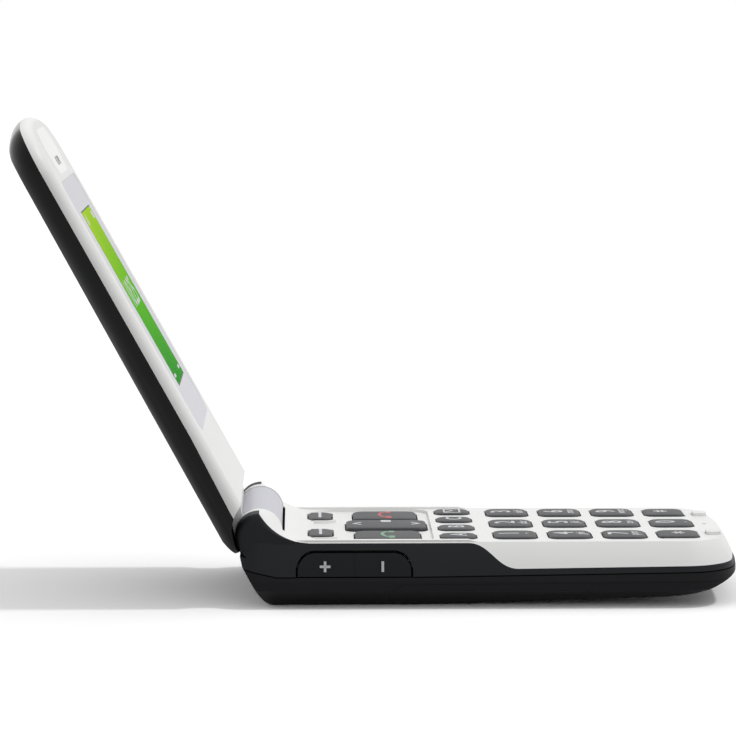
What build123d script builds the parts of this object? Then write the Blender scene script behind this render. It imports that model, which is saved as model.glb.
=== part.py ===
from build123d import *
from math import acos, atan, atan2, cos, degrees, hypot, radians, sin, sqrt, tan
import os

# A clamshell phone with large keys, lying open on its base. Millimetres.
# X runs along the base from the hinge to the keypad end, Y across it, Z up from the surface below.
# The lid is drawn shut over the base and turned about the hinge to the angle at which it stands open.
# Every piece is moved along X as it is written, so that the middle of the flat rest face lies at X = 0.

# Base, outside
BASE_BACK = -50.8
BASE_LENGTH = 102.0
BASE_WIDTH = 53.0
WAIST_Z = 5.5
DECK_Z = 12.9
TOP_INSET = 3.4
WAIST_BULGE = 0.4
END_ARC = 100.0
END_CORNER = 11.0
BACK_CORNER = 5.0
FLARE_START = 15.0
FLARE_END = 7.5
DECK_FLARE = 2.2
MID_FLARE = 0.6
CHAMFER_Z = 3.65
CHAMFER_IN = 5.5
FLAT_LENGTH = 32.96
BELLY_RISE = 1.95
BELLY_RADIUS = 100.0
BOW_LENGTH = 17.2
BOW_RADIUS = 34.0
TAIL_BOTTOM = 6.4
TAIL_TOP = 1.6
TAIL_TOP_Z = 8.2
TAIL_ROUND = 3.2
LEDGE_BACK = 1.1

# Hinge
AXIS_FROM_BACK = 4.9
AXIS_RISE = 1.1
EAR_RADIUS = 4.7
EAR_HALF = 24.2
EAR_ROUND = 1.5
BARREL_RADIUS = 4.6
BARREL_HALF = 16.0
BARREL_END_GAP = 0.3
TROUGH_GAP = 0.5
TROUGH_WALL = 1.1
INNER_EAR = 2.5
INNER_EAR_DROP = 1.5
RAMP_LENGTH = 10.4
RAMP_RADIUS = 11.7
PIN_RADIUS = 1.5
PIN_FIT = 0.05
PIN_IN_EAR = 5.5
PIN_IN_BARREL = 9.0
CAM_RADIUS = 2.9
CAM_LENGTH = 8.0
BLADE_GAP = 0.3
LEDGE_GAP = 0.25
LID_OPEN_DEG = 119.1
LID_EXTRA_DEG = 2.0

# Parting lines on the side of the base
FASCIA_EDGE = 0.2
SKIRT_START = 56.3
SKIRT_START_Z = 7.9
SKIRT_RISE = 0.6
SHOULDER = 46.4
FRAME_LINE_Z = 6.3
FRAME_LINE_RISE = 0.9
COVER_BACK = 30.8
COVER_JOG = 2.5
COVER_LINE_Z = 4.9
COVER_LINE_RISE = 0.4
COVER_JOG_Z = 3.4
PARTING_GAP = 0.05

# Base, inside
CAVITY_INSET = 4.5
FASCIA_THICK = 1.2
TRAY_FLOOR = 1.3
TRAY_WALL = 3.0
TRAY_BACK = 7.2
MID_DECK_Z = 6.5
MID_DECK_THICK = 0.7
BOARD_THICK = 0.8
BOARD_GAP = 0.4
BOARD_INSET = 5.0
DOME_RADIUS = 2.2
DOME_THICK = 0.25
MAT_THICK = 0.6
MAT_RIM = 1.0
PLUNGER_RADIUS = 1.0
PLUNGER_GAP = 0.1
FIT = 0.1

# Battery and its cover
BATTERY_WIDTH = 34.0
BATTERY_THICK = 3.2
BATTERY_BACK_GAP = 3.4
BATTERY_END_GAP = 15.2
BATTERY_TOP_GAP = 0.2
BAY_GAP = 0.3
BAY_WALL = 1.2
COVER_FLOOR = 0.9
COVER_WALL = 3.0
COVER_TRAVEL = 4.0
GRIP_GROOVES = 5
GRIP_PITCH = 1.6

# Keys: rows run along X from the hinge, columns across Y
KEY_PROUD = 0.45
NAV_PROUD = 0.27
CALL_PROUD = 0.12
SOFT_PROUD = -0.15
KEY_TRAVEL = 0.3
KEY_GAP = 0.15
KEY_FLANGE = 0.6
KEY_FLANGE_THICK = 0.7
KEY_FLANGE_GAP = 0.1
KEY_EDGE = 0.65
KEY_CORNER = 2.0
FIELD_BACK_GAP = 9.8
FIELD_END_GAP = 8.5
FIELD_SIDE_GAP = 6.5
SOFT_LENGTH = 5.0
NAV_LENGTH = 16.6
CALL_LENGTH = 13.4
SHORTCUT_LENGTH = 7.3
DIGIT_LENGTH = 8.75
DIGIT_WIDTH = 10.2
SHORTCUT_WIDTH = 7.4
SOFT_WIDTH = 10.2
SOFT_SIDE_GAP = 3.6
NAV_WIDTH = 11.8
CALL_GAP = 1.6
CALL_SIDE_GAP = 0.9
LAST_ROW_CORNER = 12.0

# The upper keys lie in a shallow dish with a raised rim along each side
RIM_RISE = 0.4
RIM_WIDTH = 1.5
RIM_END = 48.4
RIM_SLOPE = 2.0
RIM_BACK_GAP = 3.0
DISH_DEPTH = 0.55
DISH_BACK_GAP = 0.6
DISH_END = 39.8
DISH_CORNER = 4.0

# Volume rocker, on the left side
ROCKER_BACK = 12.6
ROCKER_LENGTH = 22.4
ROCKER_TOP_Z = 10.9
ROCKER_CORNER = 3.4
ROCKER_GAP = 0.4
ROCKER_CREASE = 0.3
ROCKER_CREASE_DEPTH = 0.12
ROCKER_DEPTH = 3.4
ROCKER_TILT_DEG = 2.0

# Lid, in its own lengths: s from the hinge axis to the tip, t from the axis up to the outer skin
LID_TIP_BACK = 2.5
LID_SIDE_BACK = 0.7
LID_SHUT_GAP = 0.85
LID_PARTING_T = 1.8
LID_CROWN_T = 7.35
LID_TIP_T = 6.6
LID_CROWN_SAG = 0.7
LID_CORNER = 11.0
LID_FACE_INSET = 1.5
LID_NOSE_S = 7.6
LID_HEEL_RISE = 0.55
LID_HEEL_RISE_S = 24.0
LID_CAVITY_INSET = 3.2
LID_SKIN = 1.1
BLADE_END_DEG = 100.0
TIP_BEND_BACK = 12.6
TIP_BEND_RADIUS = 45.0
HEEL_BEND_S = 6.0
HEEL_BEND_RADIUS = 15.5
LENS_START_S = 23.5
LENS_END_BACK = 14.6
LENS_WIDTH = 40.0
LENS_THICK = 0.85
LENS_CORNER = 3.0
LENS_GAP = 0.1
LENS_SUNK = 0.05
SCREEN_START_GAP = 6.5
SCREEN_END_GAP = 3.5
SCREEN_WIDTH = 34.0
SCREEN_THICK = 2.25
EARPIECE_GAP = 4.0
EARPIECE_LENGTH = 5.6
EARPIECE_WIDTH = 13.0
EARPIECE_SLOT = 1.8
EARPIECE_SLOT_WIDTH = 9.0
STATUS_WINDOW_S = 48.0
STATUS_WINDOW_LENGTH = 14.0
STATUS_WINDOW_WIDTH = 22.0
CAMERA_S = 68.0
CAMERA_RADIUS = 3.4

# Fasteners
SCREW_RADIUS = 0.7
SCREW_HEAD_RADIUS = 1.4
SCREW_HEAD_THICK = 0.8
BOSS_WALL = 0.7

# Small things on and under the fascia
BUMPER_LENGTH = 2.8
BUMPER_WIDTH = 4.0
BUMPER_CORNER = 0.8
BUMPER_SUNK = 0.5
BUMPER_GAP = 0.25
BUMPER_Y = 12.7
BUMPER_BACK = 5.8
MIC_RADIUS = 1.2
MIC_BACK = 6.1
MIC_HOLE = 0.5
TIP_SCREW_BACK = 9.8
BOSS_CLEARANCE = 0.3
HEEL_SCREW_GAP = 3.6
HEEL_SCREW_SIDE = 7.2
BOARD_POST_RADIUS = 1.2
BOARD_POST_SIDE = 8.5
BOARD_POST_BACK = 8.0
BOARD_POST_END = 10.7

# Sockets on the right side and what lies in the hinge end of the base
USB_FROM_BACK = 16.6
USB_WIDTH = 7.6
USB_HEIGHT = 2.6
USB_DEPTH = 6.0
USB_SHEET = 0.35
JACK_FROM_BACK = 25.6
JACK_RADIUS = 1.8
JACK_RIM = 0.25
JACK_WIDTH = 5.4
JACK_HEIGHT = 4.2
JACK_LENGTH = 13.0
SOCKET_SUNK = 1.2
SOCKET_GAP = 0.3
SPEAKER_FROM_BACK = 19.8
SPEAKER_Y = -9.6
SPEAKER_RADIUS = 7.4
SPEAKER_THICK = 3.4
SPEAKER_SLOTS = 7
SPEAKER_SLOT_PITCH = 1.9
SPEAKER_SLOT_LENGTH = 9.0
SPEAKER_SLOT_WIDTH = 0.8
MOTOR_FROM_BACK = 25.8
MOTOR_Y = 4.4
MOTOR_RADIUS = 4.0
MOTOR_THICK = 2.8
ANTENNA_LENGTH = 3.4
ANTENNA_HALF = 17.0
ANTENNA_THICK = 4.2
SIM_GAP = 5.6
SIM_LENGTH = 14.6
SIM_WIDTH = 15.4
CONTACTS_PITCH = 3.0

# Worked out from the sizes above
BASE_TIP = BASE_BACK + BASE_LENGTH
BASE_HALF = BASE_WIDTH / 2
AXIS_X = BASE_BACK + AXIS_FROM_BACK
AXIS_Z = DECK_Z + AXIS_RISE
RAMP_X = AXIS_X + RAMP_LENGTH
RIM_BACK_X = RAMP_X - RIM_BACK_GAP
RIM_END_X = BASE_BACK + RIM_END
DISH_END_X = BASE_BACK + DISH_END
TAIL_BOTTOM_X = BASE_BACK + TAIL_BOTTOM
TAIL_TOP_X = BASE_BACK + TAIL_TOP
TAIL_ANGLE = atan2(TAIL_TOP_Z, TAIL_BOTTOM - TAIL_TOP)
LEDGE_X = BASE_BACK + LEDGE_BACK
FLAT_END_X = BASE_BACK + FLAT_LENGTH
REST_X = (TAIL_BOTTOM_X + TAIL_ROUND * tan(TAIL_ANGLE / 2) + FLAT_END_X) / 2
SKIRT_START_X = BASE_BACK + SKIRT_START
SHOULDER_X = BASE_BACK + SHOULDER
COVER_BACK_X = BASE_BACK + COVER_BACK
TRAY_BACK_X = BASE_BACK + TRAY_BACK
ROCKER_BACK_X = BASE_BACK + ROCKER_BACK
BATTERY_BACK_X = COVER_BACK_X + BATTERY_BACK_GAP
BATTERY_END_X = BASE_TIP - BATTERY_END_GAP
FIELD_BACK_X = AXIS_X + FIELD_BACK_GAP
LID_LENGTH = BASE_TIP - LID_TIP_BACK - AXIS_X
LID_HALF = BASE_HALF - LID_SIDE_BACK
LID_FACE_T = LID_SHUT_GAP - AXIS_RISE
TIP_BEND_S = LID_LENGTH - TIP_BEND_BACK
LENS_END_S = LID_LENGTH - LENS_END_BACK
SCREEN_START_S = LENS_START_S + SCREEN_START_GAP
SCREEN_END_S = LENS_END_S - SCREEN_END_GAP
EARPIECE_S = LENS_END_S + EARPIECE_GAP
EAR_INNER = BARREL_HALF + BARREL_END_GAP
TROUGH_RADIUS = BARREL_RADIUS + TROUGH_GAP
BOARD_Z = MID_DECK_Z + MID_DECK_THICK + BOARD_GAP
BOARD_TOP = BOARD_Z + BOARD_THICK
FASCIA_UNDER = DECK_Z - FASCIA_THICK
FLANGE_TOP = FASCIA_UNDER - KEY_FLANGE_GAP
FLANGE_BOTTOM = FLANGE_TOP - KEY_FLANGE_THICK
MAT_TOP = FLANGE_BOTTOM - KEY_TRAVEL - FIT
MAT_BOTTOM = MAT_TOP - MAT_THICK
CAVITY_BACK = AXIS_X + TROUGH_RADIUS + TROUGH_WALL
BOW_X = BASE_TIP - BOW_LENGTH
BELLY_ANGLE = atan(BELLY_RISE / (BOW_X - FLAT_END_X))
BUMPER_X = BASE_TIP - BUMPER_BACK
BUMPER_TOP = DECK_Z + LID_SHUT_GAP - BUMPER_GAP
MIC_X = BASE_TIP - MIC_BACK
TIP_SCREW_Y = (BASE_HALF - FIELD_SIDE_GAP - DIGIT_WIDTH / 2) / 2
TIP_SCREWS = [(BASE_TIP - TIP_SCREW_BACK, side * TIP_SCREW_Y) for side in (-1, 1)]
HEEL_SCREWS = [(TAIL_BOTTOM_X + HEEL_SCREW_GAP, side * (BASE_HALF - HEEL_SCREW_SIDE)) for side in (-1, 1)]
BOARD_POST_START_X = COVER_BACK_X + BOARD_POST_BACK
BOARD_POST_END_X = BASE_TIP - BOARD_POST_END
BOARD_POSTS = [(x, side * (BASE_HALF - BOARD_POST_SIDE)) for side in (-1, 1)
               for x in (BOARD_POST_START_X, (BOARD_POST_START_X + BOARD_POST_END_X) / 2, BOARD_POST_END_X)]
USB_X = BASE_BACK + USB_FROM_BACK
JACK_X = BASE_BACK + JACK_FROM_BACK
SPEAKER_X = BASE_BACK + SPEAKER_FROM_BACK
MOTOR_X = BASE_BACK + MOTOR_FROM_BACK
SIM_BACK_X = BATTERY_BACK_X + SIM_GAP
EVERYTHING = 200.0

os.makedirs("parts", exist_ok=True)


def write(name, *solids):
    """Save one node as parts/NAME.step, with the middle of the rest face at X = 0."""
    moved = [Pos(-REST_X, 0, 0) * solid for solid in solids]
    shape = moved[0] if len(moved) == 1 else Compound(children=moved)
    shape.label = name
    export_step(shape, f"parts/{name}.step")


def box(x0, x1, y0, y1, z0, z1):
    """A block between two corners."""
    return Pos((x0 + x1) / 2, (y0 + y1) / 2, (z0 + z1) / 2) * Box(abs(x1 - x0), abs(y1 - y0), abs(z1 - z0))


def post(x, y, z0, z1, radius):
    """An upright cylinder."""
    return Pos(x, y, (z0 + z1) / 2) * Cylinder(radius, z1 - z0)


def rod(y0, y1, radius):
    """A cylinder on the hinge axis."""
    middle = Pos(AXIS_X, (y0 + y1) / 2, AXIS_Z)
    return middle * Rot(90, 0, 0) * Cylinder(radius, abs(y1 - y0))


def across(edges, half):
    """A side view outline, given as edges in X and Z, drawn out to both sides."""
    return extrude(Plane.XZ * make_face(edges), half, both=True)


def finish_outline(outline, tip_x, back_x, corner, back_corner, z):
    """A closed plan wire as a face at height z, with its tip and back corners rounded."""
    face = Face(outline)
    face = face.fillet_2d(corner, [v for v in face.vertices() if v.X > tip_x - 0.01])
    face = face.fillet_2d(back_corner, [v for v in face.vertices() if v.X < back_x + 0.01])
    return Sketch() + Pos(0, 0, z) * face


def rounded_outline(back, tip, half, arc, corner, back_corner, z):
    """A plan outline with straight sides, a wide arc at the tip and rounded corners."""
    side = tip - arc + sqrt(arc**2 - half**2)
    outline = Wire([
        Edge.make_line((back, -half), (side, -half)),
        Edge.make_three_point_arc((side, -half), (tip, 0), (side, half)),
        Edge.make_line((side, half), (back, half)),
        Edge.make_line((back, half), (back, -half)),
    ])
    return finish_outline(outline, side, back, corner, back_corner, z)


def flared_outline(inset, z, flare):
    """The base's plan outline at one height, its sides swept outwards by a flare at the hinge end."""
    half = BASE_HALF - inset
    tip = BASE_TIP - inset
    arc = END_ARC - inset
    side = tip - arc + sqrt(arc**2 - half**2)
    start = BASE_BACK + FLARE_START
    end = BASE_BACK + FLARE_END
    middle = (start + end) / 2
    end_half = half + flare * (middle - end) / (middle - BASE_BACK)
    outline = Wire([
        Edge.make_line((start, -half), (side, -half)),
        Edge.make_three_point_arc((side, -half), (tip, 0), (side, half)),
        Edge.make_line((side, half), (start, half)),
        Edge.make_bezier((start, half), (middle, half), (end, end_half)),
        Edge.make_line((end, end_half), (BASE_BACK, half + flare)),
        Edge.make_line((BASE_BACK, half + flare), (BASE_BACK, -half - flare)),
        Edge.make_line((BASE_BACK, -half - flare), (end, -end_half)),
        Edge.make_bezier((end, -end_half), (middle, -half), (start, -half)),
    ])
    return finish_outline(outline, side, BASE_BACK, END_CORNER - inset, BACK_CORNER, z)


def base_outline(inset, z, back=BASE_BACK, back_corner=BACK_CORNER):
    """The base's plan outline, drawn in by an inset on the sides and the tip."""
    corner = END_CORNER - inset
    return rounded_outline(back, BASE_TIP - inset, BASE_HALF - inset, END_ARC - inset, corner, back_corner, z)


def base_prism(inset, z0, z1, back, back_corner=2.0):
    """An upright prism on the base's plan outline."""
    return extrude(base_outline(inset, z0, back, back_corner), z1 - z0, dir=(0, 0, 1))


def line_z(x, start_x, start_z, rise):
    """Height of a parting line that climbs towards the tip."""
    return start_z + rise * max(0.0, x - start_x) / (BASE_TIP - start_x)


def polyline(points):
    """Straight edges through X, Z points, closed."""
    return Polyline(*points, close=True)


def make_underside():
    """Everything above the base's underside: flat, then a gentle climb, then a bow curving up to the tip."""
    far = BASE_TIP + 5
    bend_x = FLAT_END_X + BELLY_RADIUS * sin(BELLY_ANGLE)
    bend_z = BELLY_RADIUS * (1 - cos(BELLY_ANGLE))
    mid = (FLAT_END_X + BELLY_RADIUS * sin(BELLY_ANGLE / 2), BELLY_RADIUS * (1 - cos(BELLY_ANGLE / 2)))
    back = BASE_BACK - 5
    bow_z = bend_z + (BOW_X - bend_x) * tan(BELLY_ANGLE)
    centre_x = BOW_X - BOW_RADIUS * sin(BELLY_ANGLE)
    centre_z = bow_z + BOW_RADIUS * cos(BELLY_ANGLE)
    def bow(x):
        return (x, centre_z - sqrt(BOW_RADIUS**2 - (x - centre_x)**2))
    edges = [
        Edge.make_line((back, 0), (FLAT_END_X, 0)),
        Edge.make_three_point_arc((FLAT_END_X, 0), mid, (bend_x, bend_z)),
        Edge.make_line((bend_x, bend_z), (BOW_X, bow_z)),
        Edge.make_three_point_arc((BOW_X, bow_z), bow((BOW_X + far) / 2), bow(far)),
        Edge.make_line(bow(far), (far, EVERYTHING)),
        Edge.make_line((far, EVERYTHING), (back, EVERYTHING)),
        Edge.make_line((back, EVERYTHING), (back, 0)),
    ]
    return across(edges, EVERYTHING)


def make_lower_block():
    """The base's outer form below the waist: a wide chamfer all round, then the underside."""
    block = loft([base_outline(CHAMFER_IN, 0), base_outline(0, CHAMFER_Z)], ruled=True)
    block += extrude(base_outline(0, CHAMFER_Z), WAIST_Z - CHAMFER_Z, dir=(0, 0, 1))
    return block


def make_shell_block():
    """The base's outer form up to the keypad plane, before it is parted into shells."""
    mid_z = (WAIST_Z + DECK_Z) / 2
    upper = loft([
        flared_outline(0, WAIST_Z, 0),
        flared_outline(TOP_INSET / 2 - WAIST_BULGE, mid_z, MID_FLARE),
        flared_outline(TOP_INSET, DECK_Z, DECK_FLARE),
    ])
    far = BASE_BACK - 5
    reach = TAIL_ROUND * tan(TAIL_ANGLE / 2)
    touch_x = TAIL_BOTTOM_X + reach
    turn = TAIL_ANGLE / 2
    leave = (TAIL_BOTTOM_X - reach * cos(TAIL_ANGLE), reach * sin(TAIL_ANGLE))
    middle = (touch_x - TAIL_ROUND * sin(turn), TAIL_ROUND * (1 - cos(turn)))
    tail = across([
        Edge.make_three_point_arc((touch_x, 0), middle, leave),
        Edge.make_line(leave, (TAIL_TOP_X, TAIL_TOP_Z)),
        Edge.make_line((TAIL_TOP_X, TAIL_TOP_Z), (LEDGE_X, TAIL_TOP_Z + 2)),
        Edge.make_line((LEDGE_X, TAIL_TOP_Z + 2), (LEDGE_X, EVERYTHING)),
        Edge.make_line((LEDGE_X, EVERYTHING), (far, EVERYTHING)),
        Edge.make_line((far, EVERYTHING), (far, -1)),
        Edge.make_line((far, -1), (touch_x, -1)),
        Edge.make_line((touch_x, -1), (touch_x, 0)),
    ], EVERYTHING)
    return ((upper + make_lower_block()) & make_underside()) - tail


def ramp_arc(radius, peak_x):
    """The concave sweep from the keypad plane up to the ears, and its height at peak_x."""
    centre_z = DECK_Z + RAMP_RADIUS
    def height(x):
        return centre_z - sqrt(radius**2 - (x - RAMP_X)**2)
    mid_x = (RAMP_X + peak_x) / 2
    start = (RAMP_X, centre_z - radius)
    return Edge.make_three_point_arc(start, (mid_x, height(mid_x)), (peak_x, height(peak_x))), height(peak_x)


def ear_peak_x():
    """Where the ramp meets the round back of the ears."""
    dx = RAMP_X - AXIS_X
    dz = DECK_Z + RAMP_RADIUS - AXIS_Z
    span = hypot(dx, dz)
    turn = acos((span**2 + EAR_RADIUS**2 - RAMP_RADIUS**2) / (2 * span * EAR_RADIUS))
    return AXIS_X + EAR_RADIUS * cos(atan2(dz, dx) + turn)


LEDGE_Z = AXIS_Z - (EAR_RADIUS + 0.9) * sin(radians(BLADE_END_DEG + LID_OPEN_DEG + LID_EXTRA_DEG - 180)) - LEDGE_GAP


def ear_edges(rounded):
    """The side view of the ears with the ramp: hollow outside, or round where an ear meets the barrel."""
    peak = ear_peak_x()
    upper, peak_z = ramp_arc(RAMP_RADIUS, peak)
    line_up = atan2(DECK_Z + RAMP_RADIUS - AXIS_Z, RAMP_X - AXIS_X)
    front = 2 * line_up - atan2(peak_z - AXIS_Z, peak - AXIS_X)
    front_x = AXIS_X + EAR_RADIUS * cos(front)
    lower, front_z = ramp_arc(RAMP_RADIUS, front_x)
    middle = (AXIS_X + EAR_RADIUS * cos(line_up), AXIS_Z + EAR_RADIUS * sin(line_up))
    if not rounded:
        reach = hypot(RAMP_X - AXIS_X, DECK_Z + RAMP_RADIUS - AXIS_Z) - RAMP_RADIUS
        middle = (AXIS_X + reach * cos(line_up), AXIS_Z + reach * sin(line_up))
    foot_z = LEDGE_Z - 1
    foot_x = AXIS_X - sqrt(EAR_RADIUS**2 - (AXIS_Z - LEDGE_Z)**2)
    return [
        lower,
        Edge.make_three_point_arc((front_x, front_z), middle, (peak, peak_z)),
        Edge.make_three_point_arc((peak, peak_z), (AXIS_X - EAR_RADIUS, AXIS_Z), (foot_x, LEDGE_Z)),
        Edge.make_line((foot_x, LEDGE_Z), (foot_x, foot_z)),
        Edge.make_line((foot_x, foot_z), (RAMP_X, foot_z)),
        Edge.make_line((RAMP_X, foot_z), (RAMP_X, DECK_Z)),
    ]


def make_knuckles():
    """The ears' inner ends: round like the barrel beside it, flowing outwards into the hollow ramp."""
    knuckles = Part()
    for side in (-1, 1):
        inner = Plane(origin=(0, side * EAR_INNER, 0), x_dir=(1, 0, 0), z_dir=(0, -1, 0))
        outer = Plane(origin=(0, side * (EAR_HALF - EAR_ROUND), 0), x_dir=(1, 0, 0), z_dir=(0, -1, 0))
        knuckles += loft([inner * make_face(ear_edges(True)), outer * make_face(ear_edges(False))], ruled=True)
    return knuckles


def make_ears():
    """The ramp and the two ears that carry the hinge pins, as one block across the base."""
    block = across(ear_edges(False), EAR_HALF)
    rims = [e for e in block.edges() if abs(abs(e.center().Y) - EAR_HALF) < 0.01 and e.center().Z > DECK_Z]
    block = fillet(rims, EAR_ROUND)
    narrow = BASE_HALF - TOP_INSET
    wedge = Polyline(
        (RAMP_X, -narrow), (RAMP_X, narrow), (AXIS_X, EAR_HALF), (BASE_BACK - 5, EAR_HALF),
        (BASE_BACK - 5, -EAR_HALF), (AXIS_X, -EAR_HALF), close=True,
    )
    return (block & extrude(make_face(wedge), EVERYTHING)) + make_knuckles()


def make_rims():
    """The low rims along both sides of the upper keys, each sloping down at its end."""
    band = base_prism(TOP_INSET, DECK_Z - FASCIA_THICK / 2, DECK_Z + RIM_RISE, RIM_BACK_X, 0.5)
    band -= base_prism(TOP_INSET + RIM_WIDTH, 0, EVERYTHING, BASE_BACK)
    top = DECK_Z + RIM_RISE
    return band & across(polyline([
        (RIM_BACK_X, 0), (RIM_BACK_X, top), (RIM_END_X - RIM_SLOPE, top), (RIM_END_X, DECK_Z - 0.01), (RIM_END_X, 0),
    ]), EVERYTHING)


def make_dish():
    """The space of the shallow dish round the upper keys."""
    half = BASE_HALF - TOP_INSET - RIM_WIDTH
    back = RAMP_X + DISH_BACK_GAP
    floor = Pos((back + DISH_END_X) / 2, 0, DECK_Z - DISH_DEPTH)
    return extrude(floor * RectangleRounded(DISH_END_X - back, 2 * half, DISH_CORNER), EVERYTHING)


def make_base_form():
    """The whole outer form of the base, with the trough for the lid's barrel."""
    form = make_shell_block()
    shoulders = form & rod(-EVERYTHING, EVERYTHING, EAR_RADIUS)
    form -= box(BASE_BACK - 5, AXIS_X, -EVERYTHING, EVERYTHING, LEDGE_Z, EVERYTHING)
    form += shoulders
    form += make_ears()
    form += make_rims()
    form -= make_dish()
    trough = rod(-EAR_INNER, EAR_INNER, TROUGH_RADIUS)
    trough += box(BASE_BACK - 5, AXIS_X, -EAR_INNER, EAR_INNER, LEDGE_Z, EVERYTHING)
    trough += box(AXIS_X, AXIS_X + TROUGH_RADIUS, -EAR_INNER, EAR_INNER, AXIS_Z, EVERYTHING)
    return form - trough


def above_fascia_line():
    """Everything above the line between the white fascia and the dark frame."""
    flat = DECK_Z - FASCIA_EDGE
    peak = ear_peak_x() - 1
    sweep, peak_z = ramp_arc(RAMP_RADIUS + FASCIA_EDGE, peak)
    far = BASE_TIP + 5
    end_z = SKIRT_START_Z + SKIRT_RISE
    pull = (SKIRT_START_X - SHOULDER_X) * 0.45
    edges = [
        Edge.make_line((far, end_z), (SKIRT_START_X, SKIRT_START_Z)),
        Edge.make_bezier((SKIRT_START_X, SKIRT_START_Z), (SKIRT_START_X - pull, SKIRT_START_Z),
                         (SHOULDER_X + pull, flat), (SHOULDER_X, flat)),
        Edge.make_line((SHOULDER_X, flat), (RAMP_X, flat)),
        sweep,
        Edge.make_line((peak, peak_z), (peak, EVERYTHING)),
        Edge.make_line((peak, EVERYTHING), (far, EVERYTHING)),
        Edge.make_line((far, EVERYTHING), (far, end_z)),
    ]
    return across(edges, EVERYTHING)


def below_frame_line(gap=0.0):
    """Everything below the line between the side frame and the lower housing."""
    far = BASE_TIP + 5
    back = BASE_BACK - 5
    end_z = line_z(far, FLAT_END_X, FRAME_LINE_Z, FRAME_LINE_RISE)
    return across(polyline([
        (back, -5), (far, -5), (far, end_z - gap), (FLAT_END_X, FRAME_LINE_Z - gap),
        (TAIL_BOTTOM_X + 2, FRAME_LINE_Z - gap), (back, FRAME_LINE_Z + 3 - gap),
    ]), EVERYTHING)


def below_cover_line(gap=0.0):
    """The space of the battery cover: below its line and ahead of its stepped back edge."""
    far = BASE_TIP + 5
    end_z = line_z(far, COVER_BACK_X, COVER_LINE_Z, COVER_LINE_RISE)
    return across(polyline([
        (COVER_BACK_X + gap, -5), (far, -5), (far, end_z - gap),
        (COVER_BACK_X + COVER_JOG + gap, COVER_LINE_Z - gap), (COVER_BACK_X + gap, COVER_JOG_Z - gap),
    ]), EVERYTHING)


# The key field: five kinds of row along X, each gap a share of what the rows leave over
FIELD_END_X = BASE_TIP - FIELD_END_GAP
FIELD_HALF = BASE_HALF - FIELD_SIDE_GAP
ROW_LENGTHS = [SOFT_LENGTH, NAV_LENGTH, SHORTCUT_LENGTH] + [DIGIT_LENGTH] * 4
GAP_SHARES = [1.2, 0.95, 1.5, 1.0, 1.0, 1.0]


def row_centres():
    """X of each row's centre, from the hinge to the tip."""
    spare = FIELD_END_X - FIELD_BACK_X - sum(ROW_LENGTHS)
    unit = spare / sum(GAP_SHARES)
    centres = []
    x = FIELD_BACK_X
    for length, share in zip(ROW_LENGTHS, GAP_SHARES + [0]):
        centres.append(x + length / 2)
        x += length + share * unit
    return centres


ROWS = row_centres()


def columns(count, width):
    """Y of each column's centre, from the left side to the right."""
    pitch = (2 * FIELD_HALF - width) / (count - 1)
    return [-FIELD_HALF + width / 2 + i * pitch for i in range(count)]


def key_places():
    """Name, centre and plan size of every key."""
    soft_y = FIELD_HALF - SOFT_SIDE_GAP - SOFT_WIDTH / 2
    call_width = FIELD_HALF - NAV_WIDTH / 2 - CALL_GAP - CALL_SIDE_GAP
    call_y = (NAV_WIDTH + call_width) / 2 + CALL_GAP
    places = [
        ("soft_key_left", ROWS[0], -soft_y, SOFT_LENGTH, SOFT_WIDTH),
        ("soft_key_right", ROWS[0], soft_y, SOFT_LENGTH, SOFT_WIDTH),
        ("call_key", ROWS[1], -call_y, CALL_LENGTH, call_width),
        ("navigation_key", ROWS[1], 0, NAV_LENGTH, NAV_WIDTH),
        ("end_key", ROWS[1], call_y, CALL_LENGTH, call_width),
    ]
    for i, y in enumerate(columns(4, SHORTCUT_WIDTH)):
        places.append((f"shortcut_key_{i + 1}", ROWS[2], y, SHORTCUT_LENGTH, SHORTCUT_WIDTH))
    names = ["digit_key_1", "digit_key_2", "digit_key_3", "digit_key_4", "digit_key_5", "digit_key_6",
             "digit_key_7", "digit_key_8", "digit_key_9", "star_key", "digit_key_0", "hash_key"]
    digit_columns = columns(3, DIGIT_WIDTH)
    for i, name in enumerate(names):
        places.append((name, ROWS[3 + i // 3], digit_columns[i % 3], DIGIT_LENGTH, DIGIT_WIDTH))
    return places


KEYS = key_places()


def key_outline(x, y, length, width, grow):
    """A key's plan, grown by a margin. Outer keys of the last row follow the end of the base."""
    corner = min(KEY_CORNER, length / 2 - 0.3) + grow
    plan = Pos(x, y) * RectangleRounded(length + 2 * grow, width + 2 * grow, corner)
    if x > ROWS[5]:
        tip = FIELD_END_X + 1.0 + grow
        half = FIELD_HALF + grow
        plan &= rounded_outline(RAMP_X, tip, half, END_ARC / 2, LAST_ROW_CORNER + grow, 2.0, 0)
    return plan


def make_key(x, y, length, width):
    """A key cap with the flange that keeps it under the fascia."""
    proud = KEY_PROUD
    if x == ROWS[0]:
        proud = SOFT_PROUD
    if x == ROWS[1]:
        proud = NAV_PROUD if y == 0 else CALL_PROUD
    top = DECK_Z + proud
    cap = extrude(Pos(0, 0, FLANGE_TOP - 0.2) * key_outline(x, y, length, width, 0), top - FLANGE_TOP + 0.2)
    cap = fillet(cap.edges().group_by(Axis.Z)[-1], KEY_EDGE)
    flange = extrude(Pos(0, 0, FLANGE_BOTTOM) * key_outline(x, y, length, width, KEY_FLANGE), KEY_FLANGE_THICK)
    return cap + flange


def inner_ears():
    """The space of the ears' inner parts, which belong to the fascia."""
    half = EAR_INNER + INNER_EAR
    return box(BASE_BACK - 5, AXIS_X + EAR_RADIUS * 0.6, -half, half, AXIS_Z - INNER_EAR_DROP, EVERYTHING)


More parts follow.
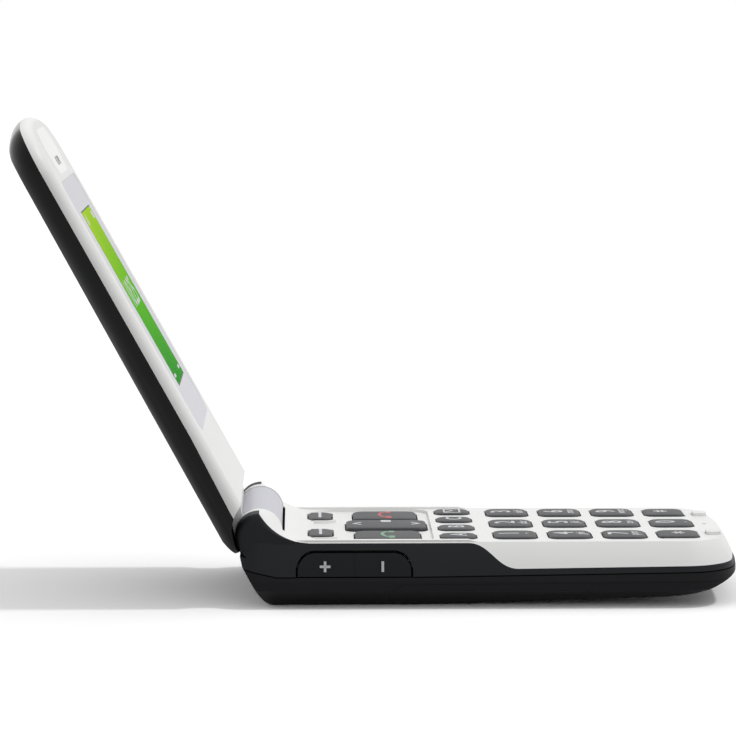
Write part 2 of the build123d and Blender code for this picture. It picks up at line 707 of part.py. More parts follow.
def pin_bores():
    """The bores for the hinge pins in both ears."""
    reach = EAR_INNER + PIN_IN_EAR + FIT
    return rod(-reach, -EAR_INNER, PIN_RADIUS + PIN_FIT) + rod(EAR_INNER, reach, PIN_RADIUS + PIN_FIT)


def bumper_plate(side, z0, z1, grow):
    """One lid bumper's plate, grown by a margin."""
    plan = RectangleRounded(BUMPER_LENGTH + 2 * grow, BUMPER_WIDTH + 2 * grow, BUMPER_CORNER + grow)
    return extrude(Pos(BUMPER_X, side * BUMPER_Y, z0) * plan, z1 - z0)


def make_fascia(form):
    """The white top of the base: keypad plate, side skirt, the ramp and the ears' inner parts."""
    cavity = base_prism(CAVITY_INSET, -5, FASCIA_UNDER, CAVITY_BACK)
    fascia = (form & (above_fascia_line() + inner_ears())) - cavity - pin_bores()
    fascia += base_prism(CAVITY_INSET + FIT, FASCIA_UNDER, DECK_Z - FASCIA_EDGE / 2, CAVITY_BACK + FIT) - make_dish()
    for name, x, y, length, width in KEYS:
        fascia -= extrude(key_outline(x, y, length, width, KEY_GAP), EVERYTHING)
    for x, y in TIP_SCREWS:
        fascia += post(x, y, MID_DECK_Z + MID_DECK_THICK + FIT, FASCIA_UNDER + 0.1, SCREW_RADIUS + BOSS_WALL)
        fascia -= post(x, y, MID_DECK_Z, FASCIA_UNDER - 0.6, SCREW_RADIUS)
    for side in (-1, 1):
        fascia -= bumper_plate(side, DECK_Z - BUMPER_SUNK, EVERYTHING, FIT)
    fascia -= post(MIC_X, 0, MAT_TOP, EVERYTHING, MIC_HOLE)
    return fascia


def rocker_plan(grow):
    """The volume rocker's outline in the side view: flat below, large round corners above."""
    x0 = ROCKER_BACK_X - grow
    x1 = ROCKER_BACK_X + ROCKER_LENGTH + grow
    z0 = FRAME_LINE_Z - grow
    z1 = ROCKER_TOP_Z + grow
    face = make_face(Polyline((x0, z0), (x1, z0), (x1, z1), (x0, z1), close=True))
    top = [v for v in face.vertices() if v.Y > z1 - 0.01]
    face = fillet(top, ROCKER_CORNER + grow)
    return extrude(Plane.XZ * face, EVERYTHING, dir=(0, -1, 0))


def make_rocker(form):
    """The volume rocker, cut from the same curved side as the frame round it."""
    body = form & rocker_plan(0)
    body &= box(-EVERYTHING, EVERYTHING, -BASE_HALF - 1, -BASE_HALF + ROCKER_DEPTH, 0, EVERYTHING)
    middle = ROCKER_BACK_X + ROCKER_LENGTH / 2
    crease = box(middle - ROCKER_CREASE / 2, middle + ROCKER_CREASE / 2, -EVERYTHING, 0, 0, EVERYTHING)
    body -= crease - Pos(0, ROCKER_CREASE_DEPTH, 0) * form
    return body - box(-EVERYTHING, EVERYTHING, -EVERYTHING, EVERYTHING, 0, FRAME_LINE_Z + ROCKER_GAP / 2)


def usb_hole(grow, y0, y1):
    """The charging socket's outline, drawn out along Y."""
    half = USB_WIDTH / 2 + grow
    return box(USB_X - half, USB_X + half, y0, y1, BOARD_Z - USB_HEIGHT - grow, BOARD_Z + grow * 0.5)


def jack_hole(radius, y0, y1):
    """The headset socket's bore, along Y."""
    z = BOARD_Z - JACK_HEIGHT / 2
    return Pos(JACK_X, (y0 + y1) / 2, z) * Rot(90, 0, 0) * Cylinder(radius, y1 - y0)


def make_side_frame(form):
    """The dark frame between fascia and lower housing, with the ears and the trough between them."""
    frame = form - above_fascia_line() - inner_ears() - below_frame_line()
    frame -= base_prism(CAVITY_INSET, -5, EVERYTHING, CAVITY_BACK)
    opening = rocker_plan(ROCKER_GAP) & box(-EVERYTHING, EVERYTHING, -EVERYTHING, 0, 0, EVERYTHING)
    frame -= opening
    frame -= usb_hole(SOCKET_GAP, 15, EVERYTHING)
    frame -= jack_hole(JACK_RADIUS + SOCKET_GAP, 15, BASE_HALF + 1)
    frame -= pin_bores()
    for x, y in HEEL_SCREWS:
        frame -= post(x, y, 0, AXIS_Z - TROUGH_RADIUS, SCREW_RADIUS)
    return frame


def make_lower_housing(form):
    """The dark housing under the frame: a tray at the hinge end, the battery bay ahead of it."""
    housing = (form & below_frame_line(PARTING_GAP)) - below_cover_line()
    tray_end = COVER_BACK_X - 1.0
    tray = base_prism(TRAY_WALL, TRAY_FLOOR, WAIST_Z, TRAY_BACK_X) & Pos(0, 0, TRAY_FLOOR) * make_lower_block()
    tray += base_prism(TRAY_WALL, WAIST_Z, EVERYTHING, TRAY_BACK_X)
    housing -= tray & box(TRAY_BACK_X, tray_end, -BASE_HALF, BASE_HALF, 0, EVERYTHING)
    deck = base_prism(CAVITY_INSET + FIT, MID_DECK_Z - 0.4, MID_DECK_Z + MID_DECK_THICK, tray_end)
    housing += deck & box(tray_end, EVERYTHING, -BASE_HALF, BASE_HALF, 0, EVERYTHING)
    bay_x0 = BATTERY_BACK_X - BAY_GAP
    bay_x1 = BATTERY_END_X + BAY_GAP
    bay_y = BATTERY_WIDTH / 2 + BAY_GAP
    wall = BAY_WALL
    bay_floor = MID_DECK_Z - BATTERY_THICK + 0.4
    housing += box(bay_x0 - wall, bay_x1 + wall, -bay_y - wall, bay_y + wall, bay_floor, MID_DECK_Z)
    housing -= box(bay_x0, bay_x1, -bay_y, bay_y, 0, MID_DECK_Z)
    sim_y = SIM_WIDTH / 2 + BAY_GAP
    housing -= box(SIM_BACK_X - BAY_GAP, SIM_BACK_X + SIM_LENGTH + BAY_GAP, -sim_y, sim_y, 0, EVERYTHING)
    for x, y in BOARD_POSTS:
        housing += post(x, y, MID_DECK_Z + MID_DECK_THICK - 0.1, BOARD_Z, BOARD_POST_RADIUS)
    for x, y in HEEL_SCREWS:
        housing += post(x, y, TRAY_FLOOR - 0.1, FRAME_LINE_Z - PARTING_GAP, SCREW_HEAD_RADIUS + BOSS_WALL)
        housing -= post(x, y, -1, TRAY_FLOOR + FIT, SCREW_HEAD_RADIUS + FIT)
        housing -= post(x, y, 0, EVERYTHING, SCREW_RADIUS)
    for x, y in TIP_SCREWS:
        housing -= post(x, y, 0, EVERYTHING, SCREW_RADIUS)
    housing -= usb_hole(SOCKET_GAP, 15, EVERYTHING)
    housing -= jack_hole(JACK_RADIUS + SOCKET_GAP, 15, BASE_HALF + 1)
    for i in range(SPEAKER_SLOTS):
        step = i - (SPEAKER_SLOTS - 1) / 2
        slot = SlotOverall(SPEAKER_SLOT_LENGTH - abs(step), SPEAKER_SLOT_WIDTH, rotation=90)
        housing -= extrude(Pos(SPEAKER_X + SPEAKER_SLOT_PITCH * step, SPEAKER_Y, 0) * slot, TRAY_FLOOR + 0.2)
    return housing


def make_battery_cover(form):
    """The thin dark cover under the battery, with its curved end wall and finger grooves."""
    cover = form & below_cover_line(PARTING_GAP)
    hollow = base_prism(COVER_WALL, -5, EVERYTHING, COVER_BACK_X - COVER_TRAVEL)
    hollow &= Pos(0, 0, COVER_FLOOR) * (make_lower_block() & make_underside())
    cover -= hollow
    for i in range(GRIP_GROOVES):
        x = COVER_BACK_X + 3.0 + i * GRIP_PITCH
        cover -= box(x, x + 0.7, -7.0, 7.0, -1, 0.3)
    return cover


def build_base():
    """Write every node of the base."""
    form = make_base_form()
    write("keypad_fascia", make_fascia(form))
    write("side_frame", make_side_frame(form))
    write("lower_housing", make_lower_housing(form))
    write("battery_cover", make_battery_cover(form))
    write("volume_rocker", make_rocker(form))
    for name, x, y, length, width in KEYS:
        write(name, make_key(x, y, length, width))

    battery_y = BATTERY_WIDTH / 2
    battery_top = MID_DECK_Z - BATTERY_TOP_GAP
    battery = box(BATTERY_BACK_X, BATTERY_END_X, -battery_y, battery_y, battery_top - BATTERY_THICK, battery_top)
    write("battery", fillet(battery.edges().filter_by(Axis.X), 1.0))

    board = base_prism(BOARD_INSET, BOARD_Z, BOARD_TOP, CAVITY_BACK + 0.4, 1.0)
    for x, y in TIP_SCREWS:
        board -= post(x, y, 0, EVERYTHING, SCREW_RADIUS + BOSS_WALL + BOSS_CLEARANCE)
    write("main_circuit_board", board)

    mat_back = FIELD_BACK_X - KEY_FLANGE - 0.4
    mat_end = FIELD_END_X + KEY_FLANGE + 0.1
    mat_half = FIELD_HALF + KEY_FLANGE + 0.2
    mat = box(mat_back, mat_end, -mat_half, mat_half, MAT_BOTTOM, MAT_TOP)
    rim = box(mat_back, mat_end, -mat_half, mat_half, BOARD_TOP, MAT_BOTTOM)
    rim -= box(mat_back + MAT_RIM, mat_end - MAT_RIM, -mat_half + MAT_RIM, mat_half - MAT_RIM, 0, EVERYTHING)
    mat += rim
    mat &= base_prism(CAVITY_INSET + FIT, 0, EVERYTHING, CAVITY_BACK)
    for x, y in TIP_SCREWS:
        mat -= post(x, y, 0, EVERYTHING, SCREW_RADIUS + BOSS_WALL + BOSS_CLEARANCE)
    for name, x, y, length, width in KEYS:
        mat += post(x, y, BOARD_TOP + DOME_THICK + PLUNGER_GAP, MAT_BOTTOM, PLUNGER_RADIUS)
    write("keypad_membrane", mat)
    domes = [post(x, y, BOARD_TOP, BOARD_TOP + DOME_THICK, DOME_RADIUS) for name, x, y, length, width in KEYS]
    write("key_domes", *domes)

    tray = TRAY_FLOOR
    write("loudspeaker", post(SPEAKER_X, SPEAKER_Y, tray, tray + SPEAKER_THICK, SPEAKER_RADIUS))
    write("vibration_motor", post(MOTOR_X, MOTOR_Y, tray, tray + MOTOR_THICK, MOTOR_RADIUS))
    write("antenna", box(TRAY_BACK_X + FIT, TRAY_BACK_X + ANTENNA_LENGTH, -ANTENNA_HALF, ANTENNA_HALF,
                         tray, tray + ANTENNA_THICK))

    mouth = BASE_HALF - SOCKET_SUNK
    usb = usb_hole(0, mouth - USB_DEPTH, mouth) - usb_hole(-USB_SHEET, mouth - USB_DEPTH + 1, mouth + 1)
    write("charging_socket", usb)
    jack_end = BASE_HALF - CHAMFER_IN - FIT
    jack = box(JACK_X - JACK_WIDTH / 2, JACK_X + JACK_WIDTH / 2, mouth - JACK_LENGTH, jack_end,
               BOARD_Z - JACK_HEIGHT, BOARD_Z)
    jack += jack_hole(JACK_RADIUS + JACK_RIM, jack_end - 1, mouth)
    jack -= jack_hole(JACK_RADIUS, mouth - JACK_LENGTH + 1, mouth + 1)
    write("headset_socket", jack)

    sim_y = SIM_WIDTH / 2
    write("sim_holder", box(SIM_BACK_X, SIM_BACK_X + SIM_LENGTH, -sim_y, sim_y, MID_DECK_Z, BOARD_Z))
    contact_x = BATTERY_BACK_X - BAY_GAP
    contacts = [box(contact_x, BATTERY_BACK_X - 0.05, i * CONTACTS_PITCH - 0.6, i * CONTACTS_PITCH + 0.6,
                    MID_DECK_Z - 2.6, MID_DECK_Z - 1.0) for i in (-1, 0, 1)]
    write("battery_contacts", *contacts)
    write("microphone", post(MIC_X, 0, BOARD_TOP, BOARD_TOP + 1.0, MIC_RADIUS))
    switch_y = -BASE_HALF + CAVITY_INSET + FIT
    write("volume_switch_board", box(ROCKER_BACK_X + 3, ROCKER_BACK_X + ROCKER_LENGTH - 3,
                                     switch_y, switch_y + 0.4, BOARD_TOP, ROCKER_TOP_Z))
    bumpers = [bumper_plate(side, DECK_Z - BUMPER_SUNK, BUMPER_TOP, 0) for side in (-1, 1)]
    write("lid_bumpers", *bumpers)

    screws = []
    for x, y in HEEL_SCREWS:
        screws.append(post(x, y, TRAY_FLOOR - SCREW_HEAD_THICK, TRAY_FLOOR, SCREW_HEAD_RADIUS)
                      + post(x, y, TRAY_FLOOR, AXIS_Z - TROUGH_RADIUS - 1, SCREW_RADIUS))
    for x, y in TIP_SCREWS:
        seat = line_z(x - SCREW_HEAD_RADIUS, COVER_BACK_X, COVER_LINE_Z, COVER_LINE_RISE)
        screws.append(post(x, y, seat - SCREW_HEAD_THICK, seat, SCREW_HEAD_RADIUS)
                      + post(x, y, seat, FASCIA_UNDER - 1, SCREW_RADIUS))
    write("housing_screws", *screws)


def lid_outline(inset, t, back_s):
    """The lid's plan outline at one height, drawn in on the sides and the tip."""
    return rounded_outline(AXIS_X + back_s, AXIS_X + LID_LENGTH - inset, LID_HALF - inset, END_ARC - inset,
                           LID_CORNER - inset, 2.0, AXIS_Z + t)


def lid_block(s0, s1, y0, y1, t0, t1):
    """A block in the lid's own lengths."""
    return box(AXIS_X + s0, AXIS_X + s1, y0, y1, AXIS_Z + t0, AXIS_Z + t1)


def lid_post(s, y, t0, t1, radius):
    """A cylinder square to the lid."""
    return post(AXIS_X + s, y, AXIS_Z + t0, AXIS_Z + t1, radius)


def lid_panel(s0, s1, width, t0, t1, corner):
    """A plate with rounded corners, in the lid's own lengths."""
    plan = Pos(AXIS_X + (s0 + s1) / 2, 0, AXIS_Z + t0) * RectangleRounded(s1 - s0, width, corner)
    return extrude(plan, t1 - t0)


def lid_points(points):
    """Points given in s and t, as X and Z with the lid shut."""
    return [(AXIS_X + s, AXIS_Z + t) for s, t in points]


def polar(radius, degrees_up):
    """A point in s and t, from its distance to the axis and its angle."""
    return (radius * cos(radians(degrees_up)), radius * sin(radians(degrees_up)))


BLADE_RADIUS = EAR_RADIUS + BLADE_GAP
BLADE_START = -BLADE_RADIUS * sin(radians(BLADE_END_DEG - 90))
LID_CAVITY_TOP = LID_TIP_T - LID_CROWN_SAG * 0.9 - LID_SKIN - 0.3


def make_hinge_space():
    """What the lid keeps clear of when shut: the ears, the ramp and the barrel."""
    space = rod(-EVERYTHING, EVERYTHING, BLADE_RADIUS)
    space += across(polyline(lid_points([
        (-20, -20), (-20, 0), (0, BLADE_RADIUS), polar(BLADE_RADIUS, 68), polar(BLADE_RADIUS + 0.6, 45),
        polar(BLADE_RADIUS + 1.2, 26), polar(BLADE_RADIUS + 1.55, 17), polar(BLADE_RADIUS + 2.0, 6),
        (LID_NOSE_S, LID_FACE_T), (LID_NOSE_S, -20),
    ])), EVERYTHING)
    return space


def make_lid_skin():
    """The lid's outer side: crowned across, bent down at the tip and over the ears."""
    crown_radius = (LID_HALF**2 + LID_CROWN_SAG**2) / (2 * LID_CROWN_SAG)
    slope = atan((LID_CROWN_T - LID_TIP_T) / (TIP_BEND_S - HEEL_BEND_S))
    crown = Pos(AXIS_X + HEEL_BEND_S, 0, AXIS_Z + LID_CROWN_T) * Rot(0, 90 + degrees(slope), 0)
    crown = crown * Pos(crown_radius, 0, 0) * Cylinder(crown_radius, 400)
    reach = TIP_BEND_S + 20
    tip_drop = TIP_BEND_RADIUS - sqrt(TIP_BEND_RADIUS**2 - 20**2)
    mid_drop = TIP_BEND_RADIUS - sqrt(TIP_BEND_RADIUS**2 - 10**2)
    heel = 7.5
    heel_drop = HEEL_BEND_RADIUS - sqrt(HEEL_BEND_RADIUS**2 - heel**2)
    heel_mid = HEEL_BEND_RADIUS - sqrt(HEEL_BEND_RADIUS**2 - (heel / 2)**2)
    top = LID_CROWN_T
    end = LID_TIP_T
    p = lid_points([
        (HEEL_BEND_S - heel, -20), (HEEL_BEND_S - heel, top - heel_drop), (HEEL_BEND_S - heel / 2, top - heel_mid),
        (HEEL_BEND_S, top), (TIP_BEND_S, end), (TIP_BEND_S + 10, end - mid_drop), (reach, end - tip_drop), (reach, -20),
    ])
    edges = [
        Edge.make_line(p[0], p[1]),
        Edge.make_three_point_arc(p[1], p[2], p[3]),
        Edge.make_line(p[3], p[4]),
        Edge.make_three_point_arc(p[4], p[5], p[6]),
        Edge.make_line(p[6], p[7]),
        Edge.make_line(p[7], p[0]),
    ]
    return crown & across(edges, EVERYTHING)


def make_lid_form():
    """The lid's outer form above its parting line."""
    form = loft([
        lid_outline(0, LID_PARTING_T, BLADE_START),
        lid_outline(0.55, LID_PARTING_T + 1.8, BLADE_START),
        lid_outline(2.0, LID_PARTING_T + 3.5, BLADE_START),
        lid_outline(6.5, LID_CROWN_T + 0.1, BLADE_START),
    ])
    return form & make_lid_skin()


def make_heel_wedge():
    """The space by which the inner frame gains height towards the hinge."""
    return across(polyline(lid_points([
        (-10, LID_PARTING_T), (LID_HEEL_RISE_S, LID_PARTING_T), (LID_NOSE_S, LID_PARTING_T + LID_HEEL_RISE),
        (-10, LID_PARTING_T + LID_HEEL_RISE),
    ])), EVERYTHING)


def make_lid_cavity():
    """The space for the parts inside the lid."""
    plan = lid_outline(LID_CAVITY_INSET, LID_PARTING_T, LID_NOSE_S)
    return extrude(plan, LID_CAVITY_TOP - LID_PARTING_T, dir=(0, 0, 1))


def make_outer_shell(form):
    """The glossy outer shell of the lid, with its window, its camera hole and screw bosses."""
    cavity_top = LID_CAVITY_TOP
    shell = form - make_hinge_space() - make_heel_wedge() - make_lid_cavity()
    for s, y in LID_SCREWS:
        shell += lid_post(s, y, LID_PARTING_T, cavity_top + 0.1, SCREW_RADIUS + BOSS_WALL)
        shell -= lid_post(s, y, 0, cavity_top - 0.5, SCREW_RADIUS - 0.1)
    half = STATUS_WINDOW_LENGTH / 2
    grow = LENS_GAP
    shell -= lid_panel(STATUS_WINDOW_S - half - grow, STATUS_WINDOW_S + half + grow, STATUS_WINDOW_WIDTH + 2 * grow,
                       cavity_top - 1, EVERYTHING, 2.0 + grow)
    shell -= lid_post(CAMERA_S, 0, cavity_top - 1, LID_CROWN_T + 5, CAMERA_RADIUS + grow)
    return shell


LENS_TOP_T = LID_FACE_T + LENS_SUNK
LENS_BACK_T = LENS_TOP_T + LENS_THICK
SCREEN_T = LENS_BACK_T
LID_BOARD_T = SCREEN_T + SCREEN_THICK
LID_BOARD_THICK = 0.7
LID_SCREWS = [(LENS_START_S + 2.8, -15.5), (LENS_START_S + 2.8, 15.5),
              (LENS_END_S - 1.5, -15.5), (LENS_END_S - 1.5, 15.5)]


def make_inner_frame(form):
    """The white inner frame of the lid: window seat, earpiece slot and the neck to the barrel."""
    frame = loft([
        lid_outline(LID_FACE_INSET, LID_FACE_T, BLADE_START),
        lid_outline(LID_FACE_INSET * 0.3, (LID_FACE_T * 1.4 + LID_PARTING_T * 0.6) / 2, BLADE_START),
        lid_outline(0, LID_PARTING_T, BLADE_START),
    ])
    frame += (form & make_heel_wedge()) - make_lid_cavity()
    frame -= make_hinge_space()
    neck = across(polyline(lid_points([
        polar(BARREL_RADIUS - 0.4, 25), polar(LID_NOSE_S - 0.9, 5), (LID_NOSE_S, LID_PARTING_T + 3),
        (0, BLADE_RADIUS + 1), polar(BARREL_RADIUS - 0.4, 95),
    ])), BARREL_HALF)
    frame += (neck & make_hinge_space()) - rod(-EVERYTHING, EVERYTHING, BARREL_RADIUS)
    g = LENS_GAP
    frame -= lid_panel(LENS_START_S - g, LENS_END_S + g, LENS_WIDTH + 2 * g, -5, LENS_BACK_T, LENS_CORNER + g)
    frame -= lid_panel(SCREEN_START_S - g, SCREEN_END_S + g, SCREEN_WIDTH + 2 * g, -5, 5, 1.0)
    slot = lid_panel(EARPIECE_S - EARPIECE_SLOT / 2, EARPIECE_S + EARPIECE_SLOT / 2, EARPIECE_SLOT_WIDTH, -5, 5,
                     EARPIECE_SLOT / 2 - 0.05)
    frame -= slot
    frame -= lid_block(EARPIECE_S - EARPIECE_LENGTH / 2 - g, EARPIECE_S + EARPIECE_LENGTH / 2 + g,
                       -EARPIECE_WIDTH / 2 - g, EARPIECE_WIDTH / 2 + g, LENS_BACK_T, 5)
    for s, y in LID_SCREWS:
        frame -= lid_post(s, y, -5, LENS_BACK_T + 0.5, SCREW_HEAD_RADIUS - 0.2)
        frame -= lid_post(s, y, -5, 5, SCREW_RADIUS - 0.1)
    return frame


def open_lid(shape):
    """Turn a piece of the shut lid to the angle at which the lid stands open."""
    return shape.rotate(Axis((AXIS_X, 0, AXIS_Z), (0, -1, 0)), LID_OPEN_DEG)


def build_lid():
    """Write every node of the lid."""
    form = make_lid_form()
    cavity_top = LID_CAVITY_TOP
    write("lid_outer_shell", open_lid(make_outer_shell(form)))
    write("lid_inner_frame", open_lid(make_inner_frame(form)))
    lens = lid_panel(LENS_START_S, LENS_END_S, LENS_WIDTH, LENS_TOP_T, LENS_BACK_T, LENS_CORNER)
    write("front_window", open_lid(lens))
    screen = lid_panel(SCREEN_START_S, SCREEN_END_S, SCREEN_WIDTH, SCREEN_T, LID_BOARD_T, 0.9)
    write("display_module", open_lid(screen))
    board = lid_panel(SCREEN_START_S, SCREEN_END_S, LENS_WIDTH - 2, LID_BOARD_T, LID_BOARD_T + LID_BOARD_THICK, 1.0)
    write("lid_circuit_board", open_lid(board))
    earpiece = lid_block(EARPIECE_S - EARPIECE_LENGTH / 2, EARPIECE_S + EARPIECE_LENGTH / 2,
                         -EARPIECE_WIDTH / 2, EARPIECE_WIDTH / 2, LENS_BACK_T, LID_BOARD_T)
    write("earpiece", open_lid(earpiece))

    half = STATUS_WINDOW_LENGTH / 2
    board_top = LID_BOARD_T + LID_BOARD_THICK
    window = form & lid_panel(STATUS_WINDOW_S - half, STATUS_WINDOW_S + half, STATUS_WINDOW_WIDTH,
                              cavity_top, EVERYTHING, 2.0)
    write("status_window", open_lid(window))
    status = lid_panel(STATUS_WINDOW_S - half, STATUS_WINDOW_S + half, STATUS_WINDOW_WIDTH, board_top, cavity_top, 1.0)
    write("status_display", open_lid(status))
    write("camera_module", open_lid(lid_post(CAMERA_S, 0, board_top, cavity_top, CAMERA_RADIUS)))
    write("camera_lens", open_lid(form & lid_post(CAMERA_S, 0, cavity_top, LID_CROWN_T + 5, CAMERA_RADIUS)))

    screws = []
    for s, y in LID_SCREWS:
        head = lid_post(s, y, LENS_BACK_T, LENS_BACK_T + 0.5, SCREW_HEAD_RADIUS - 0.3)
        screws.append(open_lid(head + lid_post(s, y, LENS_BACK_T + 0.4, cavity_top - 0.8, SCREW_RADIUS - 0.1)))
    write("lid_screws", *screws)

    barrel = rod(-BARREL_HALF, BARREL_HALF, BARREL_RADIUS)
    barrel -= rod(-BARREL_HALF, -BARREL_HALF + CAM_LENGTH, CAM_RADIUS)
    barrel -= rod(BARREL_HALF - PIN_IN_BARREL, BARREL_HALF, PIN_RADIUS)
    write("hinge_barrel", open_lid(barrel))
    cam = rod(-BARREL_HALF, -BARREL_HALF + CAM_LENGTH, CAM_RADIUS)
    cam += rod(-EAR_INNER - PIN_IN_EAR, -BARREL_HALF + 1, PIN_RADIUS)
    write("hinge_cam_unit", cam)
    write("hinge_pin", rod(BARREL_HALF - PIN_IN_BARREL, EAR_INNER + PIN_IN_EAR, PIN_RADIUS))


build_base()
build_lid()
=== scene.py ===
"""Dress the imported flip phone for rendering: key caps, legends, screen, grilles, finishes and light."""

import logging
import math
from dataclasses import dataclass, field
from enum import Enum
from typing import Iterable, Optional, Protocol, Sequence

import bmesh
import bpy
from mathutils import Color, Matrix, Vector


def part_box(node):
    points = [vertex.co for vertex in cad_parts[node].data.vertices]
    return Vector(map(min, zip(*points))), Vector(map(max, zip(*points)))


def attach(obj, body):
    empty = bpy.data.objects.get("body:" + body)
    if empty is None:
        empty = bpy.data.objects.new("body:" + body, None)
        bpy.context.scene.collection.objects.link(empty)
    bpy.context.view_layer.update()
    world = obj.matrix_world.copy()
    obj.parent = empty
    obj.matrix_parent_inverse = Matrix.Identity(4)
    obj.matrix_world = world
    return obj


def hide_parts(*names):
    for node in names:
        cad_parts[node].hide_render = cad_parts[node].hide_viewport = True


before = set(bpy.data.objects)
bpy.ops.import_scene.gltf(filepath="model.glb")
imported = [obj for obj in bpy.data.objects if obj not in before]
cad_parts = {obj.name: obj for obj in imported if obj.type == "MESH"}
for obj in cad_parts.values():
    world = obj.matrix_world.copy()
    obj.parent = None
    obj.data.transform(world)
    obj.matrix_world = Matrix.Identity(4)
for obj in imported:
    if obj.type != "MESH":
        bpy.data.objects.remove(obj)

LOG = logging.getLogger("flip_phone")
MM = 0.001
MICRON = 0.000001
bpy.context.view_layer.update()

SCREEN_MAP = "screen"
CAPITAL_SHARE = 0.71
SAME_CORNER = 0.001
SHARPEST_MITRE = 0.3
SOCKET_KINDS = {float: "NodeSocketFloat", int: "NodeSocketInt", tuple: "NodeSocketColor"}

Point = tuple[float, float]
Colour = tuple[float, float, float]


class Ink(Enum):
    """Colours printed on keys and rocker."""

    WHITE = "white"
    GREEN = "green"
    RED = "red"
    GREY = "grey"


class Finish(Protocol):
    """Anything that has a name and builds a material."""

    name: str

    def material(self) -> bpy.types.Material:
        """Build the material."""


def linear(colour: Colour) -> tuple[float, float, float, float]:
    """Turn an sRGB colour from 0 to 255 into linear light with full alpha.

    Args:
        colour: Red, green and blue from 0 to 255.

    Returns:
        Linear red, green, blue and an alpha of 1.
    """
    light = Color([channel / 255 for channel in colour]).from_srgb_to_scene_linear()
    return (light.r, light.g, light.b, 1.0)


# Node trees


class Wires:
    """Adds nodes to a tree and wires them."""

    def __init__(self, tree: bpy.types.NodeTree) -> None:
        """Take up a tree."""
        self.group = tree

    def fill(self, node: bpy.types.Node, values: dict[object, object]) -> None:
        """Set or wire a node's inputs.

        Args:
            node: The node.
            values: Input name or number to a socket or a plain value.
        """
        for label, value in values.items():
            if isinstance(value, bpy.types.NodeSocket):
                self.group.links.new(value, node.inputs[label])
            else:
                node.inputs[label].default_value = value

    def add(self, kind: str, values: dict[object, object], **settings: object) -> bpy.types.Node:
        """Add a node, set it and wire its inputs.

        Args:
            kind: The node's type.
            values: Input name or number to a socket or a plain value.
            settings: Properties of the node.

        Returns:
            The new node.
        """
        node = self.group.nodes.new(kind)
        for label, value in settings.items():
            setattr(node, label, value)
        self.fill(node, values)
        return node

    def math(self, operation: str, *values: object) -> bpy.types.NodeSocket:
        """Work out one sum and hand back its socket.

        Args:
            operation: The operation's name.
            values: Sockets or numbers, in order.

        Returns:
            The result's socket.
        """
        return self.add("ShaderNodeMath", dict(enumerate(values)), operation=operation).outputs[0]

    def seen_ray(self) -> bpy.types.NodeSocket:
        """Tell rays that are seen, straight or in a reflection or through a pane, from rays that only light.

        Returns:
            A socket that is 1 for rays that are seen.
        """
        rays = self.group.nodes.new("ShaderNodeLightPath")
        total = rays.outputs["Is Camera Ray"]
        for label in ("Is Glossy Ray", "Is Transmission Ray"):
            both = {0: total, 1: rays.outputs[label]}
            total = self.add("ShaderNodeMath", both, use_clamp=True).outputs[0]
        return total


class Tree(Wires):
    """A node group under construction, with named inputs. Lengths in a geometry tree are in millimetres."""

    def __init__(self, kind: str, name: str, inputs: dict[str, object], outputs: dict[str, str]) -> None:
        """Start a group.

        Args:
            kind: The type of the group's tree.
            name: The group's name.
            inputs: Name and default value of each input.
            outputs: Name and socket type of each output.
        """
        super().__init__(bpy.data.node_groups.new(name, kind))
        self.identifiers: dict[str, str] = {}
        for label, value in inputs.items():
            self.open_socket(label, "INPUT", SOCKET_KINDS[type(value)]).default_value = value
        for label, socket_kind in outputs.items():
            self.open_socket(label, "OUTPUT", socket_kind)
        self.entry = self.group.nodes.new("NodeGroupInput")

    def open_socket(self, label: str, side: str, kind: str) -> bpy.types.NodeTreeInterfaceSocket:
        """Give the group a named socket.

        Args:
            label: The socket's name.
            side: INPUT or OUTPUT.
            kind: The socket's type.

        Returns:
            The new socket.
        """
        socket = self.group.interface.new_socket(label, in_out=side, socket_type=kind)
        if side == "INPUT":
            self.identifiers[label] = socket.identifier
        return socket

    def value(self, label: str) -> bpy.types.NodeSocket:
        """The socket of a named input."""
        return self.entry.outputs[label]

    def close(self, results: dict[str, bpy.types.NodeSocket]) -> bpy.types.NodeTree:
        """Wire the group's outputs and hand back the group.

        Args:
            results: Output name to what goes out there.

        Returns:
            The finished group.
        """
        self.add("NodeGroupOutput", results)
        return self.group


